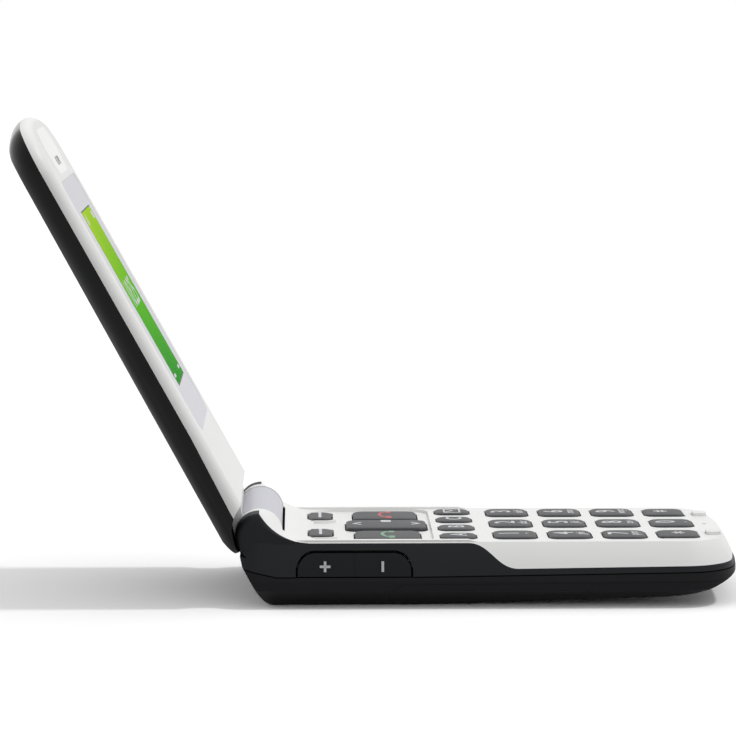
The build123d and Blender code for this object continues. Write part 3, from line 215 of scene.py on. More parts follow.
class ShapeTree(Tree):
    """A Geometry Nodes tree that grows one plain mesh."""

    def __init__(self, name: str, inputs: dict[str, object]) -> None:
        """Start a tree.

        Args:
            name: The tree's name.
            inputs: Name and default value of each input.
        """
        super().__init__("GeometryNodeTree", name, inputs, {"Geometry": "NodeSocketGeometry"})
        self.open_socket("Material", "INPUT", "NodeSocketMaterial")

    def vector(self, x: object = 0.0, y: object = 0.0, z: object = 0.0) -> bpy.types.NodeSocket:
        """Join three sockets or numbers into a vector's socket."""
        return self.add("ShaderNodeCombineXYZ", {"X": x, "Y": y, "Z": z}).outputs[0]

    def join(self, parts: Sequence[bpy.types.NodeSocket]) -> bpy.types.NodeSocket:
        """Join several geometries into one.

        Args:
            parts: The geometries' sockets.

        Returns:
            The joined geometry's socket.
        """
        both = self.add("GeometryNodeJoinGeometry", {})
        for part in parts:
            self.group.links.new(part, both.inputs[0])
        return both.outputs[0]

    def rod(self, start: object, end: object, radius: object, sides: int) -> bpy.types.NodeSocket:
        """Draw a round rod between two points.

        Args:
            start: The first point.
            end: The last point.
            radius: The rod's radius.
            sides: How many sides stand for the round.

        Returns:
            The rod's socket.
        """
        line = self.add("GeometryNodeCurvePrimitiveLine", {"Start": start, "End": end})
        ring = self.add(
            "GeometryNodeCurvePrimitiveCircle", {"Resolution": sides, "Radius": radius}, mode="RADIUS")
        return self.add("GeometryNodeCurveToMesh", {
            "Curve": line.outputs[0], "Profile Curve": ring.outputs[0], "Fill Caps": True}).outputs[0]

    def row(self, item: bpy.types.NodeSocket, count: object, start: object,
            step: object) -> bpy.types.NodeSocket:
        """Lay copies of an item in a row.

        Args:
            item: What is laid.
            count: How many.
            start: The first one's place.
            step: The way from each to the next.

        Returns:
            The row's socket.
        """
        places = self.add("GeometryNodeMeshLine", {"Count": count, "Start Location": start, "Offset": step},
                          mode="OFFSET")
        laid = self.add("GeometryNodeInstanceOnPoints", {"Points": places.outputs[0], "Instance": item})
        return laid.outputs[0]

    def finish(self, geometry: bpy.types.NodeSocket) -> "ShapeTree":
        """Realize the instances, set the material and close the tree.

        Args:
            geometry: What the tree has built.

        Returns:
            The tree itself.
        """
        real = self.add("GeometryNodeRealizeInstances", {"Geometry": geometry})
        dressed = self.add("GeometryNodeSetMaterial", {
            "Geometry": real.outputs[0], "Material": self.value("Material")})
        self.close({"Geometry": dressed.outputs[0]})
        return self

    def grow(self, name: str, values: dict[str, object], finish: Finish) -> bpy.types.Mesh:
        """Evaluate the tree once and hand back its plain mesh.

        Args:
            name: The mesh's name.
            values: Input name to value.
            finish: The finish of the mesh.

        Returns:
            The mesh, in millimetres.
        """
        holder = bpy.data.objects.new(name, bpy.data.meshes.new(name))
        bpy.context.scene.collection.objects.link(holder)
        modifier = holder.modifiers.new("grow", "NODES")
        modifier.node_group = self.group
        for label, value in values.items():
            modifier[self.identifiers[label]] = value
        modifier[self.identifiers["Material"]] = finish_of(finish)
        bpy.context.view_layer.update()
        mesh = bpy.data.meshes.new_from_object(holder.evaluated_get(bpy.context.evaluated_depsgraph_get()))
        holder.modifiers.clear()
        bpy.data.objects.remove(holder)
        mesh.name = name
        return mesh


# Surfaces


def moulded_surface_group() -> bpy.types.ShaderNodeTree:
    """Build the surface of moulded plastic: fine grain, and faint drifts of shade and gloss.

    Returns:
        The group, with Color, Roughness and Normal as outputs.
    """
    tree = Tree("ShaderNodeTree", "moulded_surface", {
        "Color": (0.5, 0.5, 0.5, 1.0), "Shade Drift": 0.03, "Roughness": 0.4, "Gloss Drift": 0.05,
        "Grain Scale": 4000.0, "Grain Height": 10 * MICRON,
    }, {"Color": "NodeSocketColor", "Roughness": "NodeSocketFloat", "Normal": "NodeSocketVector"})
    place = tree.add("ShaderNodeTexCoord", {}).outputs["Object"]
    drift = tree.add("ShaderNodeTexNoise", {"Vector": place, "Scale": 90.0, "Detail": 4.0})
    grain = tree.add("ShaderNodeTexNoise", {
        "Vector": place, "Scale": tree.value("Grain Scale"), "Detail": 2.0})
    centred = tree.math("SUBTRACT", drift.outputs["Fac"], 0.5)
    shade = tree.math("MULTIPLY_ADD", centred, tree.value("Shade Drift"), 1.0)
    tint = tree.add("ShaderNodeVectorMath", {0: tree.value("Color"), "Scale": shade}, operation="SCALE")
    gloss = tree.math("MULTIPLY_ADD", centred, tree.value("Gloss Drift"), tree.value("Roughness"))
    bump = tree.add("ShaderNodeBump", {
        "Strength": 1.0, "Height": grain.outputs["Fac"], "Distance": tree.value("Grain Height")})
    return tree.close({"Color": tint.outputs[0], "Roughness": gloss, "Normal": bump.outputs["Normal"]})


def fine_scratches_group() -> bpy.types.ShaderNodeTree:
    """Build the hairline scratches of a handled glossy surface.

    Returns:
        The group, with Roughness as its output.
    """
    tree = Tree("ShaderNodeTree", "fine_scratches", {
        "Roughness": 0.08, "Scratch Roughness": 0.12, "Scratch Scale": 160.0,
    }, {"Roughness": "NodeSocketFloat"})
    place = tree.add("ShaderNodeTexCoord", {}).outputs["Object"]
    stretch = tree.add("ShaderNodeMapping", {
        "Vector": place, "Rotation": (0.3, 0.5, 0.9), "Scale": (1.0, 14.0, 3.0)})
    noise = tree.add("ShaderNodeTexNoise", {
        "Vector": stretch.outputs["Vector"], "Scale": tree.value("Scratch Scale"), "Detail": 6.0})
    line = tree.add("ShaderNodeMapRange", {"Value": noise.outputs["Fac"], "From Min": 0.62, "From Max": 0.72})
    return tree.close({"Roughness": tree.math(
        "MULTIPLY_ADD", line.outputs["Result"], tree.value("Scratch Roughness"), tree.value("Roughness"))})


MOULDED = moulded_surface_group()
SCRATCHES = fine_scratches_group()


def bare_material(name: str) -> tuple[Wires, bpy.types.Material, bpy.types.Node]:
    """Make a material with nodes.

    Args:
        name: The material's name.

    Returns:
        What wires it, the material and its Principled BSDF.
    """
    material = bpy.data.materials.new(name)
    material.use_nodes = True
    return Wires(material.node_tree), material, material.node_tree.nodes["Principled BSDF"]


@dataclass(frozen=True)
class MouldedPlastic:
    """A moulded plastic with grain, and faint drifts of shade and gloss."""

    name: str
    colour: Colour
    roughness: float = 0.45
    grain_microns: float = 4.0
    grain_scale: float = 5000.0
    shade_drift: float = 0.06
    gloss_drift: float = 0.08
    specular: float = 0.5

    def material(self) -> bpy.types.Material:
        """Build the material.

        Returns:
            The finished material.
        """
        wires, made, shader = bare_material(self.name)
        surface = wires.add("ShaderNodeGroup", {
            "Color": linear(self.colour), "Shade Drift": self.shade_drift, "Roughness": self.roughness,
            "Gloss Drift": self.gloss_drift, "Grain Scale": self.grain_scale,
            "Grain Height": self.grain_microns * MICRON,
        }, node_tree=MOULDED).outputs
        wires.fill(shader, {
            "Base Color": surface["Color"], "Roughness": surface["Roughness"], "Normal": surface["Normal"],
            "Specular IOR Level": self.specular,
        })
        self.complete(wires, shader)
        return made

    def complete(self, wires: Wires, shader: bpy.types.Node) -> None:
        """Add what only some finishes have; plain plastic has nothing more."""


@dataclass(frozen=True)
class PolishedPlastic(MouldedPlastic):
    """A polished plastic or pane with hairline scratches."""

    grain_microns: float = 0.4
    grain_scale: float = 600.0
    shade_drift: float = 0.05
    gloss_drift: float = 0.02
    scratch_roughness: float = 0.1
    scratch_scale: float = 160.0
    metallic: float = 0.0
    alpha: float = 1.0

    def complete(self, wires: Wires, shader: bpy.types.Node) -> None:
        """Add the scratches, and set how clear and how metallic it is.

        Args:
            wires: What wires the material.
            shader: Its Principled BSDF.
        """
        marks = wires.add("ShaderNodeGroup", {
            "Roughness": self.roughness, "Scratch Roughness": self.scratch_roughness,
            "Scratch Scale": self.scratch_scale,
        }, node_tree=SCRATCHES)
        wires.fill(shader, {
            "Roughness": marks.outputs["Roughness"], "Metallic": self.metallic, "Alpha": self.alpha})


@dataclass(frozen=True)
class PlatedMetal(PolishedPlastic):
    """A stamped or turned metal piece."""

    roughness: float = 0.3
    grain_microns: float = 2.0
    grain_scale: float = 3000.0
    shade_drift: float = 0.15
    gloss_drift: float = 0.05
    scratch_roughness: float = 0.15
    scratch_scale: float = 900.0
    metallic: float = 1.0


@dataclass(frozen=True)
class PrintedInk(MouldedPlastic):
    """Flat ink of a legend, without grain."""

    roughness: float = 0.5
    grain_microns: float = 0.0
    shade_drift: float = 0.1
    gloss_drift: float = 0.05
    specular: float = 0.3


@dataclass(frozen=True)
class LitPicture:
    """The lit screen: a smooth gradient from one colour at the top to another at the bottom."""

    name: str
    top: Colour
    middle: Colour
    bottom: Colour
    wave_height: float = 0.25
    wave_middle: float = 0.12

    def material(self) -> bpy.types.Material:
        """Build the material. It reads the piece's own UV map.

        Returns:
            The finished material.
        """
        wires, made, shader = bare_material(self.name)
        place = wires.add("ShaderNodeUVMap", {}, uv_map=SCREEN_MAP).outputs["UV"]
        wave = wires.add("ShaderNodeTexNoise", {"Vector": place, "Scale": 1.6, "Detail": 0.0}).outputs["Fac"]
        height = wires.add("ShaderNodeSeparateXYZ", {0: place}).outputs["Y"]
        bent = wires.math("MULTIPLY_ADD", wave, self.wave_height, height)
        ramp = wires.add("ShaderNodeValToRGB", {"Fac": wires.math("SUBTRACT", bent, self.wave_middle)})
        ramp.color_ramp.elements[0].color = linear(self.bottom)
        ramp.color_ramp.elements[1].color = linear(self.top)
        ramp.color_ramp.elements.new(0.5).color = linear(self.middle)
        wires.fill(shader, {
            "Emission Color": ramp.outputs["Color"], "Emission Strength": 1.0,
            "Base Color": (0.0, 0.0, 0.0, 1.0), "Roughness": 0.5, "Specular IOR Level": 0.0,
        })
        return made


WHITE_PLASTIC = MouldedPlastic(
    "white_plastic", (226, 226, 225), 0.38, grain_microns=2.0, shade_drift=0.03, specular=0.3)
PAD_WHITE = MouldedPlastic("pad_white", (244, 244, 242), grain_microns=2.0, shade_drift=0.02, specular=0.3)
CHARCOAL_PLASTIC = MouldedPlastic("charcoal_plastic", (21, 22, 26), 0.5, grain_microns=6.0, specular=0.16)
LOWER_PLASTIC = MouldedPlastic("lower_plastic", (13, 13, 16), 0.5, grain_microns=6.0, specular=0.13)
ROCKER_PLASTIC = MouldedPlastic("rocker_plastic", (14, 15, 20), specular=0.13)
BARREL_PLASTIC = MouldedPlastic("barrel_plastic", (182, 182, 190), 0.35, grain_microns=2.0, specular=0.3)
KEY_PLASTIC = MouldedPlastic("key_plastic", (47, 48, 51), specular=0.32)
# Near-black and dull: painted shade for the seam strips in the grooves between the dark shells, and the dull
# black skin on the lid's blade.
SEAM_SHADE_AND_SKIN_BLACK = MouldedPlastic("seam_shade_and_skin_black", (4, 4, 5), 0.8, specular=0.02)
STRIP_RUBBER = MouldedPlastic("strip_rubber", (20, 20, 22), 0.75, grain_microns=8.0, specular=0.2)
BLACK_PLASTIC = MouldedPlastic("black_plastic", (22, 23, 25))
SILICONE = MouldedPlastic("silicone", (224, 224, 224), 0.6, shade_drift=0.04)
BATTERY_WRAP = MouldedPlastic("battery_wrap", (58, 60, 64), 0.35)
CIRCUIT_BOARD = MouldedPlastic("circuit_board", (28, 84, 52), 0.35, shade_drift=0.2)
SHELL_GLOSS = PolishedPlastic("shell_gloss", (4, 5, 8), 0.12, specular=0.16)
DARK_GLASS = PolishedPlastic("dark_glass", (6, 7, 10), 0.04, specular=0.2)
PANEL_GLOSS = PolishedPlastic("panel_gloss", (26, 28, 32), 0.15)
WINDOW_BORDER = PolishedPlastic("window_border", (200, 199, 206), 0.3, specular=0.1)
WINDOW_PANE = PolishedPlastic("window_pane", (235, 238, 240), 0.04, alpha=0.03, specular=0.0)
SCREEN_LINE = PolishedPlastic("screen_line", (40, 66, 44), 0.4, specular=0.1)
THIN_STEEL = PlatedMetal("thin_steel", (180, 181, 184))
SCREW_STEEL = PlatedMetal("screw_steel", (141, 143, 148), 0.35)
CONTACT_GOLD = PlatedMetal("contact_gold", (214, 172, 84), 0.2)
GRILLE_SILVER = PlatedMetal("grille_silver", (188, 189, 194), 0.4)
SCREEN_PICTURE = LitPicture("screen_picture", (168, 205, 40), (92, 182, 34), (50, 146, 46))
INKS = {
    Ink.WHITE: PrintedInk("white_ink", (202, 202, 205)),
    Ink.GREEN: PrintedInk("green_ink", (118, 160, 134)),
    Ink.RED: PrintedInk("red_ink", (182, 86, 90)),
    Ink.GREY: PrintedInk("grey_ink", (190, 191, 196)),
}

_made: dict[str, bpy.types.Material] = {}


def finish_of(finish: Finish) -> bpy.types.Material:
    """Hand back a finish's material, built once.

    Args:
        finish: The finish.

    Returns:
        The material.
    """
    if finish.name not in _made:
        _made[finish.name] = finish.material()
    return _made[finish.name]


# Meshes


def mesh_piece(name: str, mesh: bpy.types.Mesh, finish: Finish, body: str) -> bpy.types.Object:
    """Make an object at the origin from a mesh in millimetres and let it ride on a body.

    Args:
        name: The piece's name.
        mesh: The mesh, in millimetres.
        finish: The finish that dresses it.
        body: The CAD body that it rides on.

    Returns:
        The finished object.
    """
    mesh.transform(Matrix.Scale(MM, 4))
    piece = bpy.data.objects.new(name, mesh)
    bpy.context.scene.collection.objects.link(piece)
    mesh.materials.clear()
    mesh.materials.append(finish_of(finish))
    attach(piece, body)
    LOG.info("piece %s: %d faces on %s", name, len(mesh.polygons), body)
    return piece


def from_bmesh(name: str, bm: bmesh.types.BMesh, smooth: bool = False,
               outward: bool = False) -> bpy.types.Mesh:
    """Turn a bmesh into a mesh.

    Args:
        name: The mesh's name.
        bm: The bmesh, which is freed.
        smooth: Whether faces are shaded smooth.
        outward: Whether the faces are turned outwards first.

    Returns:
        The new mesh.
    """
    if outward:
        bmesh.ops.recalc_face_normals(bm, faces=bm.faces)
    for face in bm.faces:
        face.smooth = smooth
    mesh = bpy.data.meshes.new(name)
    bm.to_mesh(mesh)
    bm.free()
    return mesh


def mm_bmesh(node: str) -> bmesh.types.BMesh:
    """Copy a CAD node's mesh into a bmesh, in millimetres, with its loose triangles joined at their corners.

    Args:
        node: The node's name.

    Returns:
        The bmesh.
    """
    bm = bmesh.new()
    bm.from_mesh(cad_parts[node].data)
    bm.transform(Matrix.Scale(1 / MM, 4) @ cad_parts[node].matrix_world)
    bmesh.ops.remove_doubles(bm, verts=bm.verts, dist=SAME_CORNER)
    bm.normal_update()
    return bm


def box_mm(node: str) -> tuple[Vector, Vector]:
    """The low and the high corner of a CAD node's box, in millimetres."""
    low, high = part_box(node)
    return low / MM, high / MM


def rounded_box(width: float, length: float, corner: float, steps: int) -> list[Point]:
    """Outline of a rectangle with rounded corners, centred, anticlockwise.

    Args:
        width: Size along X.
        length: Size along Y.
        corner: Corner radius.
        steps: Runs in each corner.

    Returns:
        The outline's points.
    """
    x, y = width / 2 - corner, length / 2 - corner
    points: list[Point] = []
    for quarter, (side_x, side_y) in enumerate(((x, y), (-x, y), (-x, -y), (x, -y))):
        for step in range(steps + 1):
            turn = math.radians(90 * (quarter + step / steps))
            points.append((side_x + corner * math.cos(turn), side_y + corner * math.sin(turn)))
    return points


def flat_box(x: float, y: float, width: float, height: float) -> list[Point]:
    """Outline of a rectangle from its low corner."""
    return [(x, y), (x + width, y), (x + width, y + height), (x, y + height)]


def band(bm: bmesh.types.BMesh, first: Sequence[bmesh.types.BMVert],
         second: Sequence[bmesh.types.BMVert]) -> None:
    """Close the band between two loops of vertices.

    Args:
        bm: The bmesh that holds them.
        first: The loop that the faces run along.
        second: The other loop.
    """
    for i in range(len(first)):
        j = (i + 1) % len(first)
        bm.faces.new((first[i], first[j], second[j], second[i]))


def ring_mesh(name: str, outer: tuple[float, float, float], inner: tuple[float, float, float],
              shift: float = 0.0, steps: int = 8) -> bpy.types.Mesh:
    """Make a flat ring between two rounded rectangles.

    Args:
        name: The mesh's name.
        outer: Width, length and corner of the outer edge.
        inner: Width, length and corner of the opening.
        shift: How far the opening lies up from the middle.
        steps: Runs in each corner.

    Returns:
        The mesh, flat on the XY plane and facing up.
    """
    bm = bmesh.new()
    ring_out = [bm.verts.new((x, y, 0)) for x, y in rounded_box(*outer, steps)]
    ring_in = [bm.verts.new((x, y + shift, 0)) for x, y in rounded_box(*inner, steps)]
    band(bm, ring_out, ring_in)
    return from_bmesh(name, bm)


def plate_mesh(name: str, outline: Sequence[Point], thickness: float) -> bpy.types.Mesh:
    """Make a thin plate from an outline.

    Args:
        name: The mesh's name.
        outline: The points in order.
        thickness: Thickness in millimetres.

    Returns:
        The mesh, centred on the XY plane.
    """
    bm = bmesh.new()
    low = [bm.verts.new((x, y, -thickness / 2)) for x, y in outline]
    high = [bm.verts.new((x, y, thickness / 2)) for x, y in outline]
    bm.faces.new(low)
    bm.faces.new(high)
    band(bm, low, high)
    bmesh.ops.triangulate(bm, faces=[f for f in bm.faces if len(f.verts) > 4])
    return from_bmesh(name, bm, outward=True)


def text_mesh(words: str, height: float, thickness: float, bold: float) -> bpy.types.Mesh:
    """Draw words as a thin mesh, centred, with capitals of a given height.

    Args:
        words: What to write.
        height: Capital height in millimetres.
        thickness: Thickness in millimetres.
        bold: How far strokes are widened, in millimetres.

    Returns:
        The mesh, flat on the XY plane.
    """
    curve = bpy.data.curves.new("words", "FONT")
    curve.body = words
    curve.align_x = "CENTER"
    curve.size = height / CAPITAL_SHARE
    curve.extrude = thickness / 2
    curve.offset = bold
    curve.resolution_u = 3
    holder = bpy.data.objects.new("words", curve)
    bpy.context.scene.collection.objects.link(holder)
    bpy.context.view_layer.update()
    mesh = bpy.data.meshes.new_from_object(holder.evaluated_get(bpy.context.evaluated_depsgraph_get()))
    bpy.data.objects.remove(holder)
    bpy.data.curves.remove(curve)
    xs = [v.co.x for v in mesh.vertices]
    ys = [v.co.y for v in mesh.vertices]
    mesh.transform(Matrix.Translation((-(min(xs) + max(xs)) / 2, -(min(ys) + max(ys)) / 2, 0)))
    return mesh


def stroke_outline(points: Sequence[Point], width: float) -> list[Point]:
    """Widen an open line into an outline with square ends.

    Args:
        points: The line's points.
        width: The stroke's width.

    Returns:
        The outline's points.
    """
    left: list[Point] = []
    right: list[Point] = []
    for i, point in enumerate(points):
        here = Vector(point)
        ways = [(here - Vector(points[i - 1])).normalized()] if i > 0 else []
        ways += [(Vector(points[i + 1]) - here).normalized()] if i < len(points) - 1 else []
        way = sum(ways, Vector((0.0, 0.0))).normalized()
        side = Vector((-way.y, way.x))
        reach = width / 2 / max(SHARPEST_MITRE, abs(side.dot(Vector((-ways[0].y, ways[0].x)))))
        left.append(tuple(here + side * reach))
        right.append(tuple(here - side * reach))
    return left + right[::-1]


def split_long_edges(mesh: bpy.types.Mesh, longest: float, rounds: int = 5) -> None:
    """Split a mesh's long edges, so that it can follow a curved face.

    Args:
        mesh: The mesh, changed in place.
        longest: The longest edge that stays, in millimetres.
        rounds: How often edges are split at most.
    """
    bm = bmesh.new()
    bm.from_mesh(mesh)
    bmesh.ops.triangulate(bm, faces=bm.faces)
    for _ in range(rounds):
        edges = [edge for edge in bm.edges if edge.calc_length() > longest]
        if not edges:
            break
        bmesh.ops.subdivide_edges(bm, edges=edges, cuts=1)
        bmesh.ops.triangulate(bm, faces=bm.faces)
    bm.to_mesh(mesh)
    bm.free()


def join_meshes(name: str, meshes: Iterable[bpy.types.Mesh]) -> bpy.types.Mesh:
    """Join meshes into one.

    Args:
        name: The new mesh's name.
        meshes: The meshes, which are removed.

    Returns:
        The joined mesh.
    """
    bm = bmesh.new()
    for mesh in list(meshes):
        bm.from_mesh(mesh)
        bpy.data.meshes.remove(mesh)
    joined = bpy.data.meshes.new(name)
    bm.to_mesh(joined)
    bm.free()
    return joined


@dataclass
class Placing:
    """A flat frame in space: where a drawing's right, up and front point."""

    origin: Vector
    right: Vector
    up: Vector

    @property
    def front(self) -> Vector:
        """The direction that the drawing faces."""
        return self.right.cross(self.up)

    def matrix(self) -> Matrix:
        """The placing as a matrix, in millimetres."""
        turn = Matrix((self.right, self.up, self.front)).transposed().to_4x4()
        return Matrix.Translation(self.origin) @ turn


# Shapes that follow a rule


CAP_RINGS = (
    (0.0, 1.75), (0.72, 1.75), (0.72, 0.62), (0.76, 0.4), (0.86, 0.27),
    (1.02, 0.18), (1.3, 0.115), (1.9, 0.06), (2.8, 0.02), (4.1, 0.0),
)
FIRST_TOP_RING = 2
LARGEST_INSET_SHARE = 0.94


def crown_drop(inset: float) -> float:
    """How far a cap's top lies under its highest point.

    Args:
        inset: Distance from the edge of the key's flange, in millimetres.

    Returns:
        The drop in millimetres.
    """
    top_rings = CAP_RINGS[FIRST_TOP_RING:]
    for (low, high_drop), (high, low_drop) in zip(top_rings, top_rings[1:]):
        if inset <= high:
            share = max(0.0, (inset - low) / (high - low))
            return high_drop + (low_drop - high_drop) * share
    return 0.0


def pillow_cap_tree() -> ShapeTree:
    """Build the tree of a key: a flange, upright sides, a rounded edge and a faintly crowned top.

    Each ring is the one before it, pushed up and drawn in, so one rule makes every key from its own box.

    Returns:
        The tree.
    """
    tree = ShapeTree("pillow_cap", {"Length": 9.95, "Width": 11.4, "Height": 2.45, "Corner": 2.6})
    sizes = (tree.value("Length"), tree.value("Width"))
    outline = tree.add("GeometryNodeCurvePrimitiveQuadrilateral", {"Width": sizes[0], "Height": sizes[1]})
    rounded = tree.add("GeometryNodeFilletCurve", {
        "Curve": outline.outputs[0], "Count": 8, "Radius": tree.value("Corner")}, mode="POLY")
    sheet = tree.add("GeometryNodeFillCurve", {"Curve": rounded.outputs[0]}, mode="NGONS").outputs[0]
    under = tree.add("GeometryNodeFlipFaces", {"Mesh": sheet}).outputs[0]
    body, level, before, chosen = sheet, 0.0, sizes, {}
    for inset, drop in CAP_RINGS:
        next_level = tree.math("SUBTRACT", tree.value("Height"), drop)
        rise = tree.vector(z=tree.math("SUBTRACT", next_level, level))
        pushed = tree.add("GeometryNodeExtrudeMesh", {
            "Mesh": body, "Offset": rise, "Individual": False, **chosen}, mode="FACES")
        chosen = {"Selection": pushed.outputs["Top"]}
        after = [
            tree.math("SUBTRACT", size, tree.math(
                "MINIMUM", 2 * inset, tree.math("MULTIPLY", size, LARGEST_INSET_SHARE)))
            for size in sizes
        ]
        body = pushed.outputs["Mesh"]
        for new, old, axis in zip(after, before, ((1.0, 0.0, 0.0), (0.0, 1.0, 0.0))):
            body = tree.add("GeometryNodeScaleElements", {
                "Geometry": body, "Scale": tree.math("DIVIDE", new, old), "Axis": axis, **chosen,
            }, domain="FACE", scale_mode="SINGLE_AXIS").outputs[0]
        level, before = next_level, after
    closed = tree.add("GeometryNodeMergeByDistance", {
        "Geometry": tree.join([body, under]), "Distance": 0.0005})
    return tree.finish(closed.outputs[0])


def woven_mesh_tree() -> ShapeTree:
    """Build the tree of a fine grille: two sets of round wires, one laid across the other.

    Returns:
        The tree.
    """
    tree = ShapeTree("woven_mesh", {"Length": 9.0, "Width": 2.0, "Pitch": 0.45, "Wire": 0.09, "Lap": 0.8})
    length, width, pitch, radius = (tree.value(label) for label in ("Length", "Width", "Pitch", "Wire"))
    above = tree.math("MULTIPLY", radius, tree.value("Lap"))
    below = tree.math("MULTIPLY", above, -1.0)
    sets = []
    for along, across, way, crossing, level in (
            (length, width, "x", "y", below), (width, length, "y", "x", above)):
        half = tree.math("MULTIPLY", along, 0.5)
        ends = (tree.vector(**{way: tree.math("MULTIPLY", half, -1.0)}), tree.vector(**{way: half}))
        wire = tree.rod(*ends, radius, 6)
        room = tree.math("SUBTRACT", across, tree.math("MULTIPLY", radius, 2.0))
        count = tree.math("ADD", tree.math("FLOOR", tree.math("DIVIDE", room, pitch)), 1.0)
        run = tree.math("MULTIPLY", tree.math("SUBTRACT", count, 1.0), pitch)
        start = tree.vector(**{crossing: tree.math("MULTIPLY", run, -0.5), "z": level})
        sets.append(tree.row(wire, count, start, tree.vector(**{crossing: pitch})))
    return tree.finish(tree.join(sets))


def grip_strips_tree() -> ShapeTree:
    """Build the tree of a row of rounded rubber strips.

    Returns:
        The tree.
    """
    tree = ShapeTree("grip_strips", {"Count": 5, "Pitch": 1.6, "Length": 13.8, "Width": 0.6, "Depth": 0.2})
    radius = tree.math("MULTIPLY", tree.value("Width"), 0.5)
    half = tree.math("SUBTRACT", tree.math("MULTIPLY", tree.value("Length"), 0.5), radius)
    bar = tree.rod(tree.vector(y=tree.math("MULTIPLY", half, -1.0)), tree.vector(y=half), radius, 16)
    flat = tree.math("DIVIDE", tree.value("Depth"), tree.value("Width"))
    pressed = tree.add("GeometryNodeTransform", {"Geometry": bar, "Scale": tree.vector(1.0, 1.0, flat)})
    step = tree.vector(x=tree.value("Pitch"))
    return tree.finish(tree.row(pressed.outputs[0], tree.value("Count"), tree.vector(), step))


def cross_recess_tree() -> ShapeTree:
    """Build the tree of two screw heads in a row, each a shallow dome with a cross recess cut into it.

    Returns:
        The tree.
    """
    tree = ShapeTree("cross_recess", {
        "Radius": 1.2, "Height": 0.35, "Spread": 38.6, "Crown Share": 0.72, "Blade Share": 1.1,
        "Blade Width Share": 0.28, "Blade Lift Share": 0.9,
    })
    radius, height, spread = (tree.value(label) for label in ("Radius", "Height", "Spread"))
    crown, long, thin = (
        tree.math("MULTIPLY", radius, tree.value(f"{label} Share"))
        for label in ("Crown", "Blade", "Blade Width")
    )
    lift = tree.vector(z=tree.math("MULTIPLY", height, tree.value("Blade Lift Share")))
    disc = tree.add("GeometryNodeMeshCone", {
        "Vertices": 28, "Side Segments": 2, "Radius Top": crown, "Radius Bottom": radius, "Depth": height})
    blade = tree.add("GeometryNodeMeshCube", {"Size": tree.vector(long, thin, height)}).outputs[0]
    blades = [
        tree.add("GeometryNodeTransform", {
            "Geometry": blade, "Translation": lift, "Rotation": (0.0, 0.0, turn)}).outputs[0]
        for turn in (0.0, math.pi / 2)
    ]
    cut = tree.add("GeometryNodeMeshBoolean", {
        "Mesh 1": disc.outputs[0], "Mesh 2": tree.join(blades), "Self Intersection": True,
    }, operation="DIFFERENCE", solver="EXACT")
    start = tree.vector(y=tree.math("MULTIPLY", spread, -0.5))
    return tree.finish(tree.row(cut.outputs[0], 2, start, tree.vector(y=spread)))


# Base


@dataclass
class KeyCap:
    """One key, as a pillowed cap with its flange, and what is printed on it."""

    node: str
    lift: float = 0.0
    flange_corner: float = 2.1
    end_room: float = 0.4
    ink_rise: float = 0.01
    ink_step: float = 0.35

    def room(self) -> tuple[Vector, Vector]:
        """The low and the high corner of the key's box in millimetres, raised by its lift."""
        low, high = box_mm(self.node)
        return low, high + Vector((0.0, 0.0, self.lift))

    def build(self, tree: ShapeTree) -> None:
        """Grow the cap in the key's own box and let it stand in for the key.

        Args:
            tree: The cap's tree.
        """
        low, high = self.room()
        size = high - low
        mesh = tree.grow(f"{self.node}_cap", {
            "Length": size.x, "Width": size.y, "Height": size.z,
            "Corner": min(self.flange_corner, size.x / 2 - self.end_room),
        }, KEY_PLASTIC)
        mesh.transform(Matrix.Translation(((low.x + high.x) / 2, (low.y + high.y) / 2, low.z)))
        for face in mesh.polygons:
            face.use_smooth = True
        cap = mesh_piece(f"{self.node}_cap", mesh, KEY_PLASTIC, self.node)
        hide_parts(self.node)

    def lay_legend(self, mesh: bpy.types.Mesh, label: str, ink: Ink = Ink.WHITE, right: float = 0.0,
                   down: float = 0.0, turn: float = 0.0) -> None:
        """Lay a flat drawing on the key's top.

        Args:
            mesh: The drawing, in millimetres, reading along its X.
            label: What the piece is called after the key's name.
            ink: Its colour.
            right: Offset to the phone's right, in millimetres.
            down: Offset towards the tip, in millimetres.
            turn: Turn in degrees, anticlockwise as read.
        """
        low, high = self.room()
        middle = (low + high) / 2
        place = Vector((middle.x + down, middle.y + right, 0))
        placing = Placing(place, Vector((0, 1, 0)), Vector((-1, 0, 0)))
        mesh.transform(placing.matrix() @ Matrix.Rotation(math.radians(turn), 4, "Z"))
        split_long_edges(mesh, self.ink_step)
        for vertex in mesh.vertices:
            place = vertex.co
            inset = min(place.x - low.x, high.x - place.x, place.y - low.y, high.y - place.y)
            place.z += high.z - crown_drop(inset) + self.ink_rise
        mesh_piece(f"{self.node}_{label}", mesh, INKS[ink], self.node)


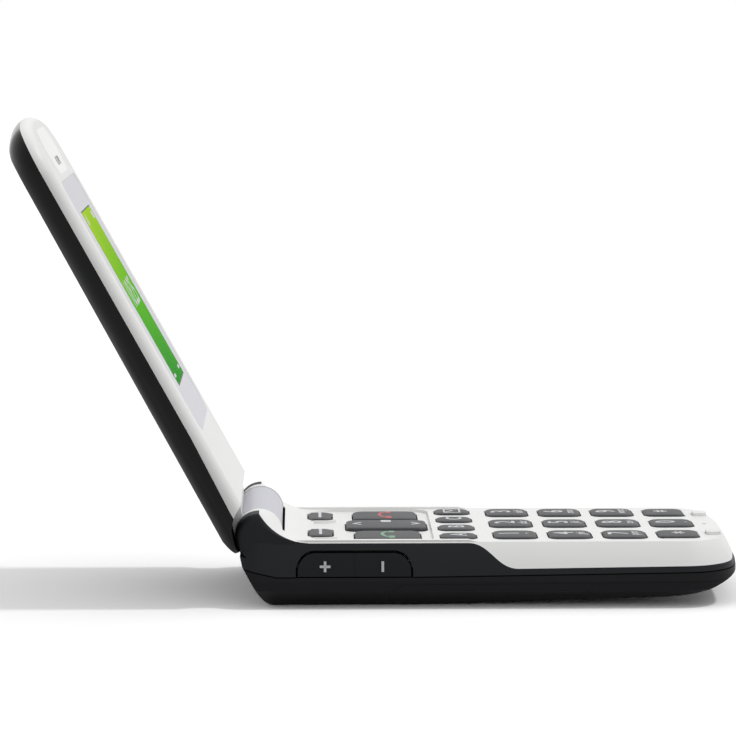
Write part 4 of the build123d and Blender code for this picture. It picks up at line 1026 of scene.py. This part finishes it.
@dataclass
class Keypad:
    """All keys and their legends."""

    digit_height: float = 4.1
    digit_down: float = -1.25
    letter_height: float = 1.9
    letter_down: float = 2.45
    plus_height: float = 1.1
    plus_down: float = 3.0
    star_height: float = 4.2
    hash_height: float = 2.7
    hash_down: float = -0.7
    shortcut_height: float = 3.3
    heavy: float = 0.06
    light: float = 0.02
    ink_thickness: float = 0.03
    soft_lift: float = 0.5
    soft_bar: tuple[float, float, float] = (7.4, 0.6, 0.25)
    soft_bar_right: float = 0.5
    deck_z: float = 12.9
    collar_low: float = 12.0
    collar_inset: float = 0.6
    collar_corner: float = 1.5
    collar_outer: float = 0.8
    collar_inner: float = 0.22
    envelope_half: Point = (2.3, 1.6)
    envelope_line: float = 0.36
    envelope_fold: float = -0.2
    navigation_bar: tuple[float, float, float] = (3.0, 2.1, 0.5)
    navigation_bar_right: float = 3.4
    arrow_down: float = 5.9
    arrow_half: Point = (1.5, 0.75)
    arrow_line: float = 0.55
    handset_arch: Point = (3.7, 1.9)
    handset_turns: Sequence[int] = range(12, 169, 12)
    handset_drop: float = 0.8
    handset_line: float = 0.7
    handset_end_place: Point = (2.2, -1.35)
    handset_end_size: Point = (2.4, 1.15)
    digits: dict[str, tuple[str, str]] = field(default_factory=lambda: {
        "digit_key_1": ("1", ".,"), "digit_key_2": ("2", "abc"), "digit_key_3": ("3", "def"),
        "digit_key_4": ("4", "ghi"), "digit_key_5": ("5", "jkl"), "digit_key_6": ("6", "mno"),
        "digit_key_7": ("7", "pqrs"), "digit_key_8": ("8", "tuv"), "digit_key_9": ("9", "wxyz"),
        "digit_key_0": ("0", "+"),
    })

    def dress(self) -> None:
        """Give every key its cap and its legend."""
        caps = pillow_cap_tree()
        for name in [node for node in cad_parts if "_key" in node and node != "key_domes"]:
            self.cap(name).build(caps)
        for name, (digit, letters) in self.digits.items():
            self.write(name, "digit", digit, self.digit_height, self.digit_down, self.heavy)
            height, down = self.letter_height, self.letter_down
            if letters == "+":
                height, down = self.plus_height, self.plus_down
            self.write(name, "letters", letters, height, down, self.light)
        self.write("star_key", "sign", "*", self.star_height, 0.0, self.heavy)
        self.write("hash_key", "sign", "#", self.hash_height, self.hash_down, self.heavy)
        for name, letter in (("shortcut_key_1", "A"), ("shortcut_key_2", "B"), ("shortcut_key_3", "C")):
            self.write(name, "letter", letter, self.shortcut_height, 0.0, self.heavy)
        self.envelope()
        for name in ("soft_key_left", "soft_key_right"):
            bar = self.plate(rounded_box(*self.soft_bar, steps=4))
            self.cap(name).lay_legend(bar, "bar", right=self.soft_bar_right)
            self.collar(name)
        self.navigation()
        self.handsets()

    def cap(self, name: str) -> KeyCap:
        """A key's cap; the soft keys stand up at the foot of the ramp."""
        return KeyCap(name, self.soft_lift if name.startswith("soft") else 0.0)

    def write(self, name: str, label: str, words: str, height: float, down: float, bold: float) -> None:
        """Print words on a key.

        Args:
            name: The key's node.
            label: What the piece is called after the key's name.
            words: What is printed.
            height: Capital height in millimetres.
            down: Offset towards the tip, in millimetres.
            bold: How far strokes are widened, in millimetres.
        """
        self.cap(name).lay_legend(text_mesh(words, height, self.ink_thickness, bold), label, down=down)

    def plate(self, outline: Sequence[Point]) -> bpy.types.Mesh:
        """A plate of ink from its outline."""
        return plate_mesh("plate", outline, self.ink_thickness)

    def collar(self, name: str) -> None:
        """Frame a soft key with a thin collar that brings the dish's floor up to the foot of the ramp.

        Args:
            name: The key's node.
        """
        low, high = box_mm(name)
        middle = (low + high) / 2
        length, width = high.x - low.x - 2 * self.collar_inset, high.y - low.y - 2 * self.collar_inset
        bm = bmesh.new()
        loops = []
        for grow, z in ((self.collar_outer, self.collar_low), (self.collar_outer, self.deck_z),
                        (self.collar_inner, self.deck_z), (self.collar_inner, self.collar_low)):
            points = rounded_box(length + 2 * grow, width + 2 * grow, self.collar_corner + grow, 6)
            loops.append([bm.verts.new((x + middle.x, y + middle.y, z)) for x, y in points])
        for loop, next_loop in zip(loops, loops[1:] + loops[:1]):
            band(bm, loop, next_loop)
        mesh_piece(f"{name}_collar", from_bmesh(f"{name}_collar", bm, outward=True), WHITE_PLASTIC, "base")

    def envelope(self) -> None:
        """Print the envelope on the last shortcut key."""
        x, y = self.envelope_half
        strokes = (
            [(-x, -y), (x, -y)], [(-x, y), (x, y)], [(-x, -y), (-x, y)], [(x, -y), (x, y)],
            [(-x, y), (0, self.envelope_fold), (x, y)],
        )
        parts = [self.plate(stroke_outline(stroke, self.envelope_line)) for stroke in strokes]
        self.cap("shortcut_key_4").lay_legend(join_meshes("envelope", parts), "envelope")

    def navigation(self) -> None:
        """Print the two arrows and the small bar on the navigation key."""
        cap = self.cap("navigation_key")
        bar = self.plate(rounded_box(*self.navigation_bar, steps=4))
        cap.lay_legend(bar, "bar", right=self.navigation_bar_right)
        x, y = self.arrow_half
        for name, side, turn in (("up", -1, 0), ("down", 1, 180)):
            arrow = self.plate(stroke_outline([(-x, -y), (0, y), (x, -y)], self.arrow_line))
            cap.lay_legend(arrow, f"{name}_arrow", down=side * self.arrow_down, turn=turn)

    def handsets(self) -> None:
        """Print the green and the red handset."""
        half_width, height = self.handset_arch
        x, y = self.handset_end_place
        width, tall = self.handset_end_size
        turns = [math.radians(degrees) for degrees in self.handset_turns]
        arch = [(half_width * math.cos(turn), height * math.sin(turn) - self.handset_drop) for turn in turns]
        for name, ink in (("call_key", Ink.GREEN), ("end_key", Ink.RED)):
            parts = [self.plate(stroke_outline(arch, self.handset_line))]
            parts += [self.plate(flat_box(left, y, width, tall)) for left in (x, -x - width)]
            self.cap(name).lay_legend(join_meshes("handset", parts), "handset", ink)


@dataclass
class Rocker:
    """The volume rocker's printed signs."""

    plus_x: float = -2.6
    minus_x: float = 8.8
    sign_z: float = 8.45
    set_back: float = 0.31
    lean: float = 0.16
    arm: float = 1.05
    half_line: float = 0.25
    ink_thickness: float = 0.03

    def print_signs(self) -> None:
        """Lay the plus and the minus on the rocker's face."""
        face_y = box_mm("volume_rocker")[0].y + self.set_back
        lying, standing = (self.arm, self.half_line), (self.half_line, self.arm)
        for name, x, bars in (("plus", self.plus_x, [lying, standing]), ("minus", self.minus_x, [standing])):
            parts = [plate_mesh("bar", flat_box(-w, -h, 2 * w, 2 * h), self.ink_thickness) for w, h in bars]
            mesh = join_meshes(name, parts)
            placing = Placing(
                Vector((x, face_y, self.sign_z)), Vector((1, 0, 0)), Vector((0, self.lean, 1)).normalized())
            mesh.transform(placing.matrix())
            mesh_piece(f"volume_rocker_{name}", mesh, INKS[Ink.GREY], "volume_rocker")


@dataclass
class PaintedSeamShade:
    """Painted shade in the groove where two dark shells meet: a thin black strip that follows the shell's
    lower or upper edge.
    """

    node: str
    facing: float
    half_width: float = 0.12
    proud: float = 0.04
    steep: float = 0.6
    sides_from_y: float = 20.0
    merging: float = 0.02

    def on_seam(self, edge: bmesh.types.BMEdge, middle_x: float) -> bool:
        """Tell whether an edge lies between the shell's outer wall and the face that meets its neighbour.

        Args:
            edge: The edge, with its wall and its flat face.
            middle_x: The middle of the shell's length.

        Returns:
            Whether the painted shade strip follows it.
        """
        if len(edge.link_faces) != 2:
            return False
        wall, flat = sorted(edge.link_faces, key=lambda face: abs(face.normal.z))
        here = (edge.verts[0].co + edge.verts[1].co) / 2
        away = Vector((here.x - middle_x if abs(here.y) < self.sides_from_y else 0.0, here.y, 0.0))
        upright = abs(wall.normal.z) <= self.steep and wall.normal.dot(away) > 0
        return upright and flat.normal.z * self.facing >= self.steep

    def build(self, name: str, body: str) -> None:
        """Lay the painted shade strip along the shell's edge.

        Args:
            name: The piece's name.
            body: The CAD body that it rides on.
        """
        bm = mm_bmesh(self.node)
        low, high = box_mm(self.node)
        # A thin black strip of painted shade, laid along the groove.
        shade_strip = bmesh.new()
        up = Vector((0.0, 0.0, self.half_width))
        for edge in [edge for edge in bm.edges if self.on_seam(edge, (low.x + high.x) / 2)]:
            wall = min(edge.link_faces, key=lambda face: abs(face.normal.z))
            out = Vector((wall.normal.x, wall.normal.y, 0.0)).normalized() * self.proud
            a, b = (vert.co + out for vert in edge.verts)
            shade_strip.faces.new([shade_strip.verts.new(place) for place in (a - up, b - up, b + up, a + up)])
        bm.free()
        bmesh.ops.remove_doubles(shade_strip, verts=shade_strip.verts, dist=self.merging)
        mesh_piece(name, from_bmesh(name, shade_strip, smooth=True, outward=True), SEAM_SHADE_AND_SKIN_BLACK, body)


@dataclass
class Underside:
    """What is fitted to the base's underside: grip strips, the sound cloth and the screws' heads."""

    strip_place: tuple[float, float, float] = (13.2, 0.0, 0.2)
    strip_pitch: float = 1.6
    strip_count: int = 5
    strip_length: float = 13.6
    strip_width: float = 0.6
    strip_depth: float = 0.2
    cloth_place: tuple[float, float, float] = (-0.8, -9.6, 1.15)
    cloth_length: float = 13.6
    cloth_width: float = 12.0
    cloth_pitch: float = 0.5
    cloth_wire: float = 0.07
    heel_screws: Point = (-10.6, 19.3)
    tip_screws: Point = (71.6, 7.45)
    head_radius: float = 1.15
    head_height: float = 0.3
    head_gap: float = 0.02
    screw_reach: float = 2.5

    def grip(self) -> None:
        """Lay the rubber strips in the cover's grooves."""
        mesh = grip_strips_tree().grow("grip_strips", {
            "Count": self.strip_count, "Pitch": self.strip_pitch, "Length": self.strip_length,
            "Width": self.strip_width, "Depth": self.strip_depth,
        }, STRIP_RUBBER)
        mesh.transform(Matrix.Translation(self.strip_place))
        mesh_piece("grip_strips", mesh, STRIP_RUBBER, "battery_cover")

    def screws(self) -> None:
        """Set a cross-recessed head under each pair of screws at the heel and the tip."""
        tree = cross_recess_tree()
        for name, (x, y) in (("heel", self.heel_screws), ("tip", self.tip_screws)):
            mesh = tree.grow(f"{name}_screw_heads", {
                "Radius": self.head_radius, "Height": self.head_height, "Spread": 2 * y}, SCREW_STEEL)
            mesh.transform(Matrix.Translation((x, 0.0, self.head_z(x, y))) @ Matrix.Rotation(math.pi, 4, "X"))
            mesh_piece(f"{name}_screw_heads", mesh, SCREW_STEEL, "base")

    def head_z(self, x: float, y: float) -> float:
        """The level just under a screw, read from the screws themselves.

        Args:
            x: The screw's place along the phone.
            y: Its place across.

        Returns:
            The level in millimetres.
        """
        bm = mm_bmesh("housing_screws")
        levels = [
            vert.co.z for vert in bm.verts
            if abs(vert.co.x - x) < self.screw_reach and abs(abs(vert.co.y) - y) < self.screw_reach
        ]
        bm.free()
        return min(levels) - self.head_gap

    def cloth(self) -> None:
        """Stretch the woven cloth over the loudspeaker, behind its slots."""
        mesh = woven_mesh_tree().grow("sound_cloth", {
            "Length": self.cloth_length, "Width": self.cloth_width, "Pitch": self.cloth_pitch,
            "Wire": self.cloth_wire,
        }, STRIP_RUBBER)
        mesh.transform(Matrix.Translation(self.cloth_place))
        mesh_piece("sound_cloth", mesh, STRIP_RUBBER, "base")


# Lid


@dataclass
class Lid:
    """The lid's window, screen, earpiece and skin, with lengths from the hinge's axis and heights off it."""

    axis: Vector = field(default_factory=lambda: Vector((-15.7, 0.0, 14.0)))
    open_deg: float = 119.1
    window_start: float = 23.5
    window_end: float = 79.9
    window_width: float = 40.0
    window_corner: float = 3.0
    window_gap: float = 0.2
    screen_start: float = 33.0
    screen_end: float = 72.9
    screen_width: float = 25.7
    screen_corner: float = 0.6
    outline_width: float = 0.3
    outline_corner: float = 0.5
    window_t: float = -0.2
    border_steps: int = 6
    picture_rise: float = 0.002
    border_rise: float = 0.004
    outline_rise: float = 0.006
    sign_rise: float = 0.012
    sign_thickness: float = 0.004
    clock_height: float = 6.0
    clock_bold: float = 0.05
    clock_s: float = 53.6
    status_from_end: float = 3.2
    signal_x: float = 2.0
    signal_bars: int = 4
    signal_pitch: float = 1.0
    signal_width: float = 0.6
    signal_low: float = 0.8
    signal_step: float = 0.5
    cell_x: float = 5.0
    cell_box: tuple[float, float, float, float] = (0.0, 0.3, 3.2, 1.6)
    cell_tip_box: tuple[float, float, float, float] = (3.3, 0.7, 0.4, 0.8)
    menu_from_start: float = 2.0
    menu_x: float = 4.0
    menu_mark: Point = (4.4, 0.7)
    pad_start: float = 81.3
    pad_end: float = 91.4
    pad_width: float = 26.0
    pad_rise: float = 0.015
    round_end: float = 0.01
    frame_t: float = -0.25
    slot_s: float = 84.0
    slot_length: float = 9.0
    slot_width: float = 1.8
    grille_room: float = 0.1
    grille_pitch: float = 0.42
    grille_wire: float = 0.09
    grille_depth: float = 0.35
    skin_end: float = 12.0
    skin_thickness: float = 0.03
    skin_facing: float = 0.15

    def placing(self, s: float, t: float) -> Placing:
        """The flat frame of the lid's inner face at a height.

        Args:
            s: Length from the axis.
            t: Height off the axis, positive outwards.

        Returns:
            The placing, read from the keypad side.
        """
        turn = math.radians(self.open_deg)
        along = Vector((math.cos(turn), 0, math.sin(turn)))
        out = Vector((-math.sin(turn), 0, math.cos(turn)))
        return Placing(self.axis + along * s + out * t, Vector((0, 1, 0)), along)

    def lay(self, mesh: bpy.types.Mesh, name: str, finish: Finish, s: float, t: float) -> None:
        """Lay a flat mesh on the lid's inner face.

        Args:
            mesh: The mesh, in millimetres.
            name: The piece's name.
            finish: Its finish.
            s: Length from the axis to its middle.
            t: Height off the axis.
        """
        mesh.transform(self.placing(s, t).matrix())
        mesh_piece(name, mesh, finish, "lid")

    def window(self) -> None:
        """Build the window's printed border, and behind it the lit screen with its thin outline."""
        width, length = self.screen_width, self.screen_end - self.screen_start
        screen_s = (self.screen_start + self.screen_end) / 2
        window_s = (self.window_start + self.window_end) / 2
        gaps = 2 * self.window_gap
        border = ring_mesh(
            "window_border",
            (self.window_width + gaps, self.window_end - self.window_start + gaps, self.window_corner),
            (width, length, self.screen_corner), screen_s - window_s, self.border_steps)
        self.lay(border, "window_border", WINDOW_BORDER, window_s, self.window_t - self.border_rise)

        bm = bmesh.new()
        layer = bm.loops.layers.uv.new(SCREEN_MAP)
        corners = flat_box(0.0, 0.0, 1.0, 1.0)
        face = bm.faces.new([bm.verts.new(((x - 0.5) * width, (y - 0.5) * length, 0)) for x, y in corners])
        for loop, corner in zip(face.loops, corners):
            loop[layer].uv = corner
        picture = from_bmesh("screen_picture", bm)
        self.lay(picture, "screen_picture", SCREEN_PICTURE, screen_s, self.window_t - self.picture_rise)
        lines = 2 * self.outline_width
        outline = ring_mesh("screen_outline", (width, length, self.screen_corner),
                            (width - lines, length - lines, self.outline_corner))
        self.lay(outline, "screen_outline", SCREEN_LINE, screen_s, self.window_t - self.outline_rise)

    def screen_signs(self) -> None:
        """Print the clock, the status marks and the menu marks on the screen."""
        white, front, half = INKS[Ink.WHITE], self.window_t - self.sign_rise, self.screen_width / 2
        clock = text_mesh("10:25", self.clock_height, self.sign_thickness, self.clock_bold)
        self.lay(clock, "screen_clock", white, self.clock_s, front)
        marks = [
            flat_box(self.signal_x - half + i * self.signal_pitch, 0.0,
                     self.signal_width, self.signal_low + i * self.signal_step)
            for i in range(self.signal_bars)
        ]
        for x, y, width, height in (self.cell_box, self.cell_tip_box):
            marks.append(flat_box(half - self.cell_x + x, y, width, height))
        status = join_meshes("status", [plate_mesh("mark", mark, self.sign_thickness) for mark in marks])
        self.lay(status, "screen_status_marks", white, self.screen_end - self.status_from_end, front)
        wide, tall = self.menu_mark
        menu = join_meshes("menu", [
            plate_mesh("mark", flat_box(x - wide / 2, -tall / 2, wide, tall), self.sign_thickness)
            for x in (self.menu_x - half, half - self.menu_x)
        ])
        self.lay(menu, "screen_menu_marks", white, self.screen_start + self.menu_from_start, front)

    def ear_pad(self) -> None:
        """Lay the bright oval pad round the earpiece slot, and the fine grille in the slot."""
        middle, length = (self.pad_start + self.pad_end) / 2, self.pad_end - self.pad_start
        pad = ring_mesh("earpiece_pad", (self.pad_width, length, length / 2 - self.round_end),
                        (self.slot_length, self.slot_width, self.slot_width / 2 - self.round_end),
                        self.slot_s - middle)
        self.lay(pad, "earpiece_pad", PAD_WHITE, middle, self.frame_t - self.pad_rise)
        grille = woven_mesh_tree().grow("earpiece_grille", {
            "Length": self.slot_length - self.grille_room, "Width": self.slot_width - self.grille_room,
            "Pitch": self.grille_pitch, "Wire": self.grille_wire,
        }, GRILLE_SILVER)
        self.lay(grille, "earpiece_grille", GRILLE_SILVER, self.slot_s, self.frame_t + self.grille_depth)

    def blade_skin(self) -> None:
        """Lay a dull black skin on the inner faces of the lid's lower edge, where it dips behind the ears."""
        here = self.placing(0.0, 0.0)
        bm = mm_bmesh("lid_outer_shell")
        bmesh.ops.bisect_plane(bm, geom=bm.verts[:] + bm.edges[:] + bm.faces[:], clear_outer=True,
                               plane_co=self.axis + here.up * self.skin_end, plane_no=here.up)
        bm.normal_update()
        away = [face for face in bm.faces if face.normal.dot(here.front) < self.skin_facing]
        bmesh.ops.delete(bm, geom=away, context="FACES")
        bm.normal_update()
        for vert in bm.verts:
            vert.co += vert.normal * self.skin_thickness
        mesh_piece("lid_blade_skin", from_bmesh("lid_blade_skin", bm, smooth=True), SEAM_SHADE_AND_SKIN_BLACK, "lid")


NODE_FINISHES: dict[str, Finish] = {
    "keypad_fascia": WHITE_PLASTIC, "lid_inner_frame": WHITE_PLASTIC,
    "side_frame": CHARCOAL_PLASTIC, "lower_housing": LOWER_PLASTIC, "battery_cover": LOWER_PLASTIC,
    "volume_rocker": ROCKER_PLASTIC, "hinge_barrel": BARREL_PLASTIC, "lid_outer_shell": SHELL_GLOSS,
    "front_window": WINDOW_PANE, "status_window": DARK_GLASS, "camera_lens": DARK_GLASS,
    "display_module": PANEL_GLOSS, "status_display": PANEL_GLOSS, "battery": BATTERY_WRAP,
    "main_circuit_board": CIRCUIT_BOARD, "lid_circuit_board": CIRCUIT_BOARD,
    "volume_switch_board": CIRCUIT_BOARD,
    "keypad_membrane": SILICONE, "lid_bumpers": SILICONE, "key_domes": THIN_STEEL, "sim_holder": THIN_STEEL,
    "charging_socket": THIN_STEEL, "vibration_motor": THIN_STEEL, "microphone": THIN_STEEL,
    "housing_screws": SCREW_STEEL, "lid_screws": SCREW_STEEL, "hinge_cam_unit": SCREW_STEEL,
    "hinge_pin": SCREW_STEEL, "battery_contacts": CONTACT_GOLD, "loudspeaker": BLACK_PLASTIC,
    "antenna": BLACK_PLASTIC, "headset_socket": BLACK_PLASTIC, "earpiece": BLACK_PLASTIC,
    "camera_module": BLACK_PLASTIC,
}


def dress_node(node: str, finish: Finish) -> None:
    """Give a CAD node a finish.

    Args:
        node: The node's name.
        finish: The finish.
    """
    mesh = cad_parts[node].data
    mesh.materials.clear()
    mesh.materials.append(finish_of(finish))
    LOG.info("node %s: %s", node, finish.name)


# Studio


@dataclass
class Studio:
    """Floor, surroundings, lamps and camera, in millimetres."""

    camera_place: Vector = field(default_factory=lambda: Vector((-7.56, -713.0, 121.11)))
    yaw_deg: float = 1.12
    pitch_deg: float = 6.08
    lens_mm: float = 172.2
    sensor_mm: float = 36.0
    nearest_seen: float = 10.0
    farthest_seen: float = 20000.0
    floor_half: float = 60000.0
    floor_bounce: float = 0.12
    sky: float = 0.82
    key: float = 0.98
    key_towards: tuple[float, float, float] = (0.62, 0.0, 1.0)
    key_spread_deg: float = 5.0
    front: float = 0.2
    front_towards: tuple[float, float, float] = (0.25, -1.0, 0.35)
    front_spread_deg: float = 60.0

    def camera(self) -> None:
        """Place the camera where the photograph was taken from."""
        data = bpy.data.cameras.new("camera")
        data.lens = self.lens_mm
        data.sensor_width = self.sensor_mm
        data.sensor_fit = "HORIZONTAL"
        data.clip_start = self.nearest_seen * MM
        data.clip_end = self.farthest_seen * MM
        camera = bpy.data.objects.new("camera", data)
        bpy.context.scene.collection.objects.link(camera)
        camera.location = self.camera_place * MM
        camera.rotation_euler = (math.radians(90 - self.pitch_deg), 0, math.radians(-self.yaw_deg))
        bpy.context.scene.camera = camera

    def floor(self) -> None:
        """Lay the pale floor, which keeps the object's shadow and reads as seamless white."""
        bm = bmesh.new()
        half = self.floor_half * MM
        bm.faces.new([bm.verts.new((x, y, 0)) for x, y in flat_box(-half, -half, 2 * half, 2 * half)])
        mesh = from_bmesh("floor", bm)
        floor = bpy.data.objects.new("floor", mesh)
        bpy.context.scene.collection.objects.link(floor)
        wires, made, shader = bare_material("pale_floor")
        shade = wires.add("ShaderNodeMapRange", {
            "Value": wires.seen_ray(), "To Min": self.floor_bounce, "To Max": 1.0})
        wires.fill(shader, {
            "Base Color": shade.outputs["Result"], "Roughness": 1.0, "Specular IOR Level": 0.0})
        mesh.materials.append(made)

    def world(self) -> None:
        """Light the surroundings: white to the eye, softer on the object."""
        world = bpy.data.worlds.new("studio")
        bpy.context.scene.world = world
        world.use_nodes = True
        wires = Wires(world.node_tree)
        strength = wires.add("ShaderNodeMapRange", {
            "Value": wires.seen_ray(), "To Min": self.sky, "To Max": 1.0})
        wires.fill(world.node_tree.nodes["Background"], {
            "Color": (1.0, 1.0, 1.0, 1.0), "Strength": strength.outputs["Result"]})

    def sun(self, name: str, towards: Vector, strength: float, spread_deg: float) -> None:
        """Hang one broad, even lamp.

        Args:
            name: The lamp's name.
            towards: The direction in which it hangs, seen from the phone.
            strength: Its strength.
            spread_deg: How wide it looks from the phone.
        """
        data = bpy.data.lights.new(name, "SUN")
        data.energy = strength
        data.angle = math.radians(spread_deg)
        lamp = bpy.data.objects.new(name, data)
        bpy.context.scene.collection.objects.link(lamp)
        lamp.rotation_euler = towards.to_track_quat("Z", "Y").to_euler()

    def light(self) -> None:
        """Hang the lamps."""
        self.sun("key_lamp", Vector(self.key_towards), self.key, self.key_spread_deg)
        self.sun("front_lamp", Vector(self.front_towards), self.front, self.front_spread_deg)
        bpy.context.scene.view_settings.view_transform = "Standard"


def main() -> None:
    """Build the pieces in order and report each."""
    logging.basicConfig(level=logging.INFO, format="%(name)s %(message)s")
    studio = Studio()
    studio.camera()
    for node, finish in NODE_FINISHES.items():
        dress_node(node, finish)
    Keypad().dress()
    lid = Lid()
    lid.window()
    lid.screen_signs()
    lid.ear_pad()
    lid.blade_skin()
    Rocker().print_signs()
    # Painted shade: thin black strips in the grooves between the dark shells.
    PaintedSeamShade("side_frame", -1.0).build("waist_seam_shade", "base")
    PaintedSeamShade("battery_cover", 1.0, proud=-0.01).build("cover_seam_shade", "battery_cover")
    underside = Underside()
    underside.grip()
    underside.screws()
    underside.cloth()
    studio.floor()
    studio.world()
    studio.light()


if __name__ == "__main__":
    main()
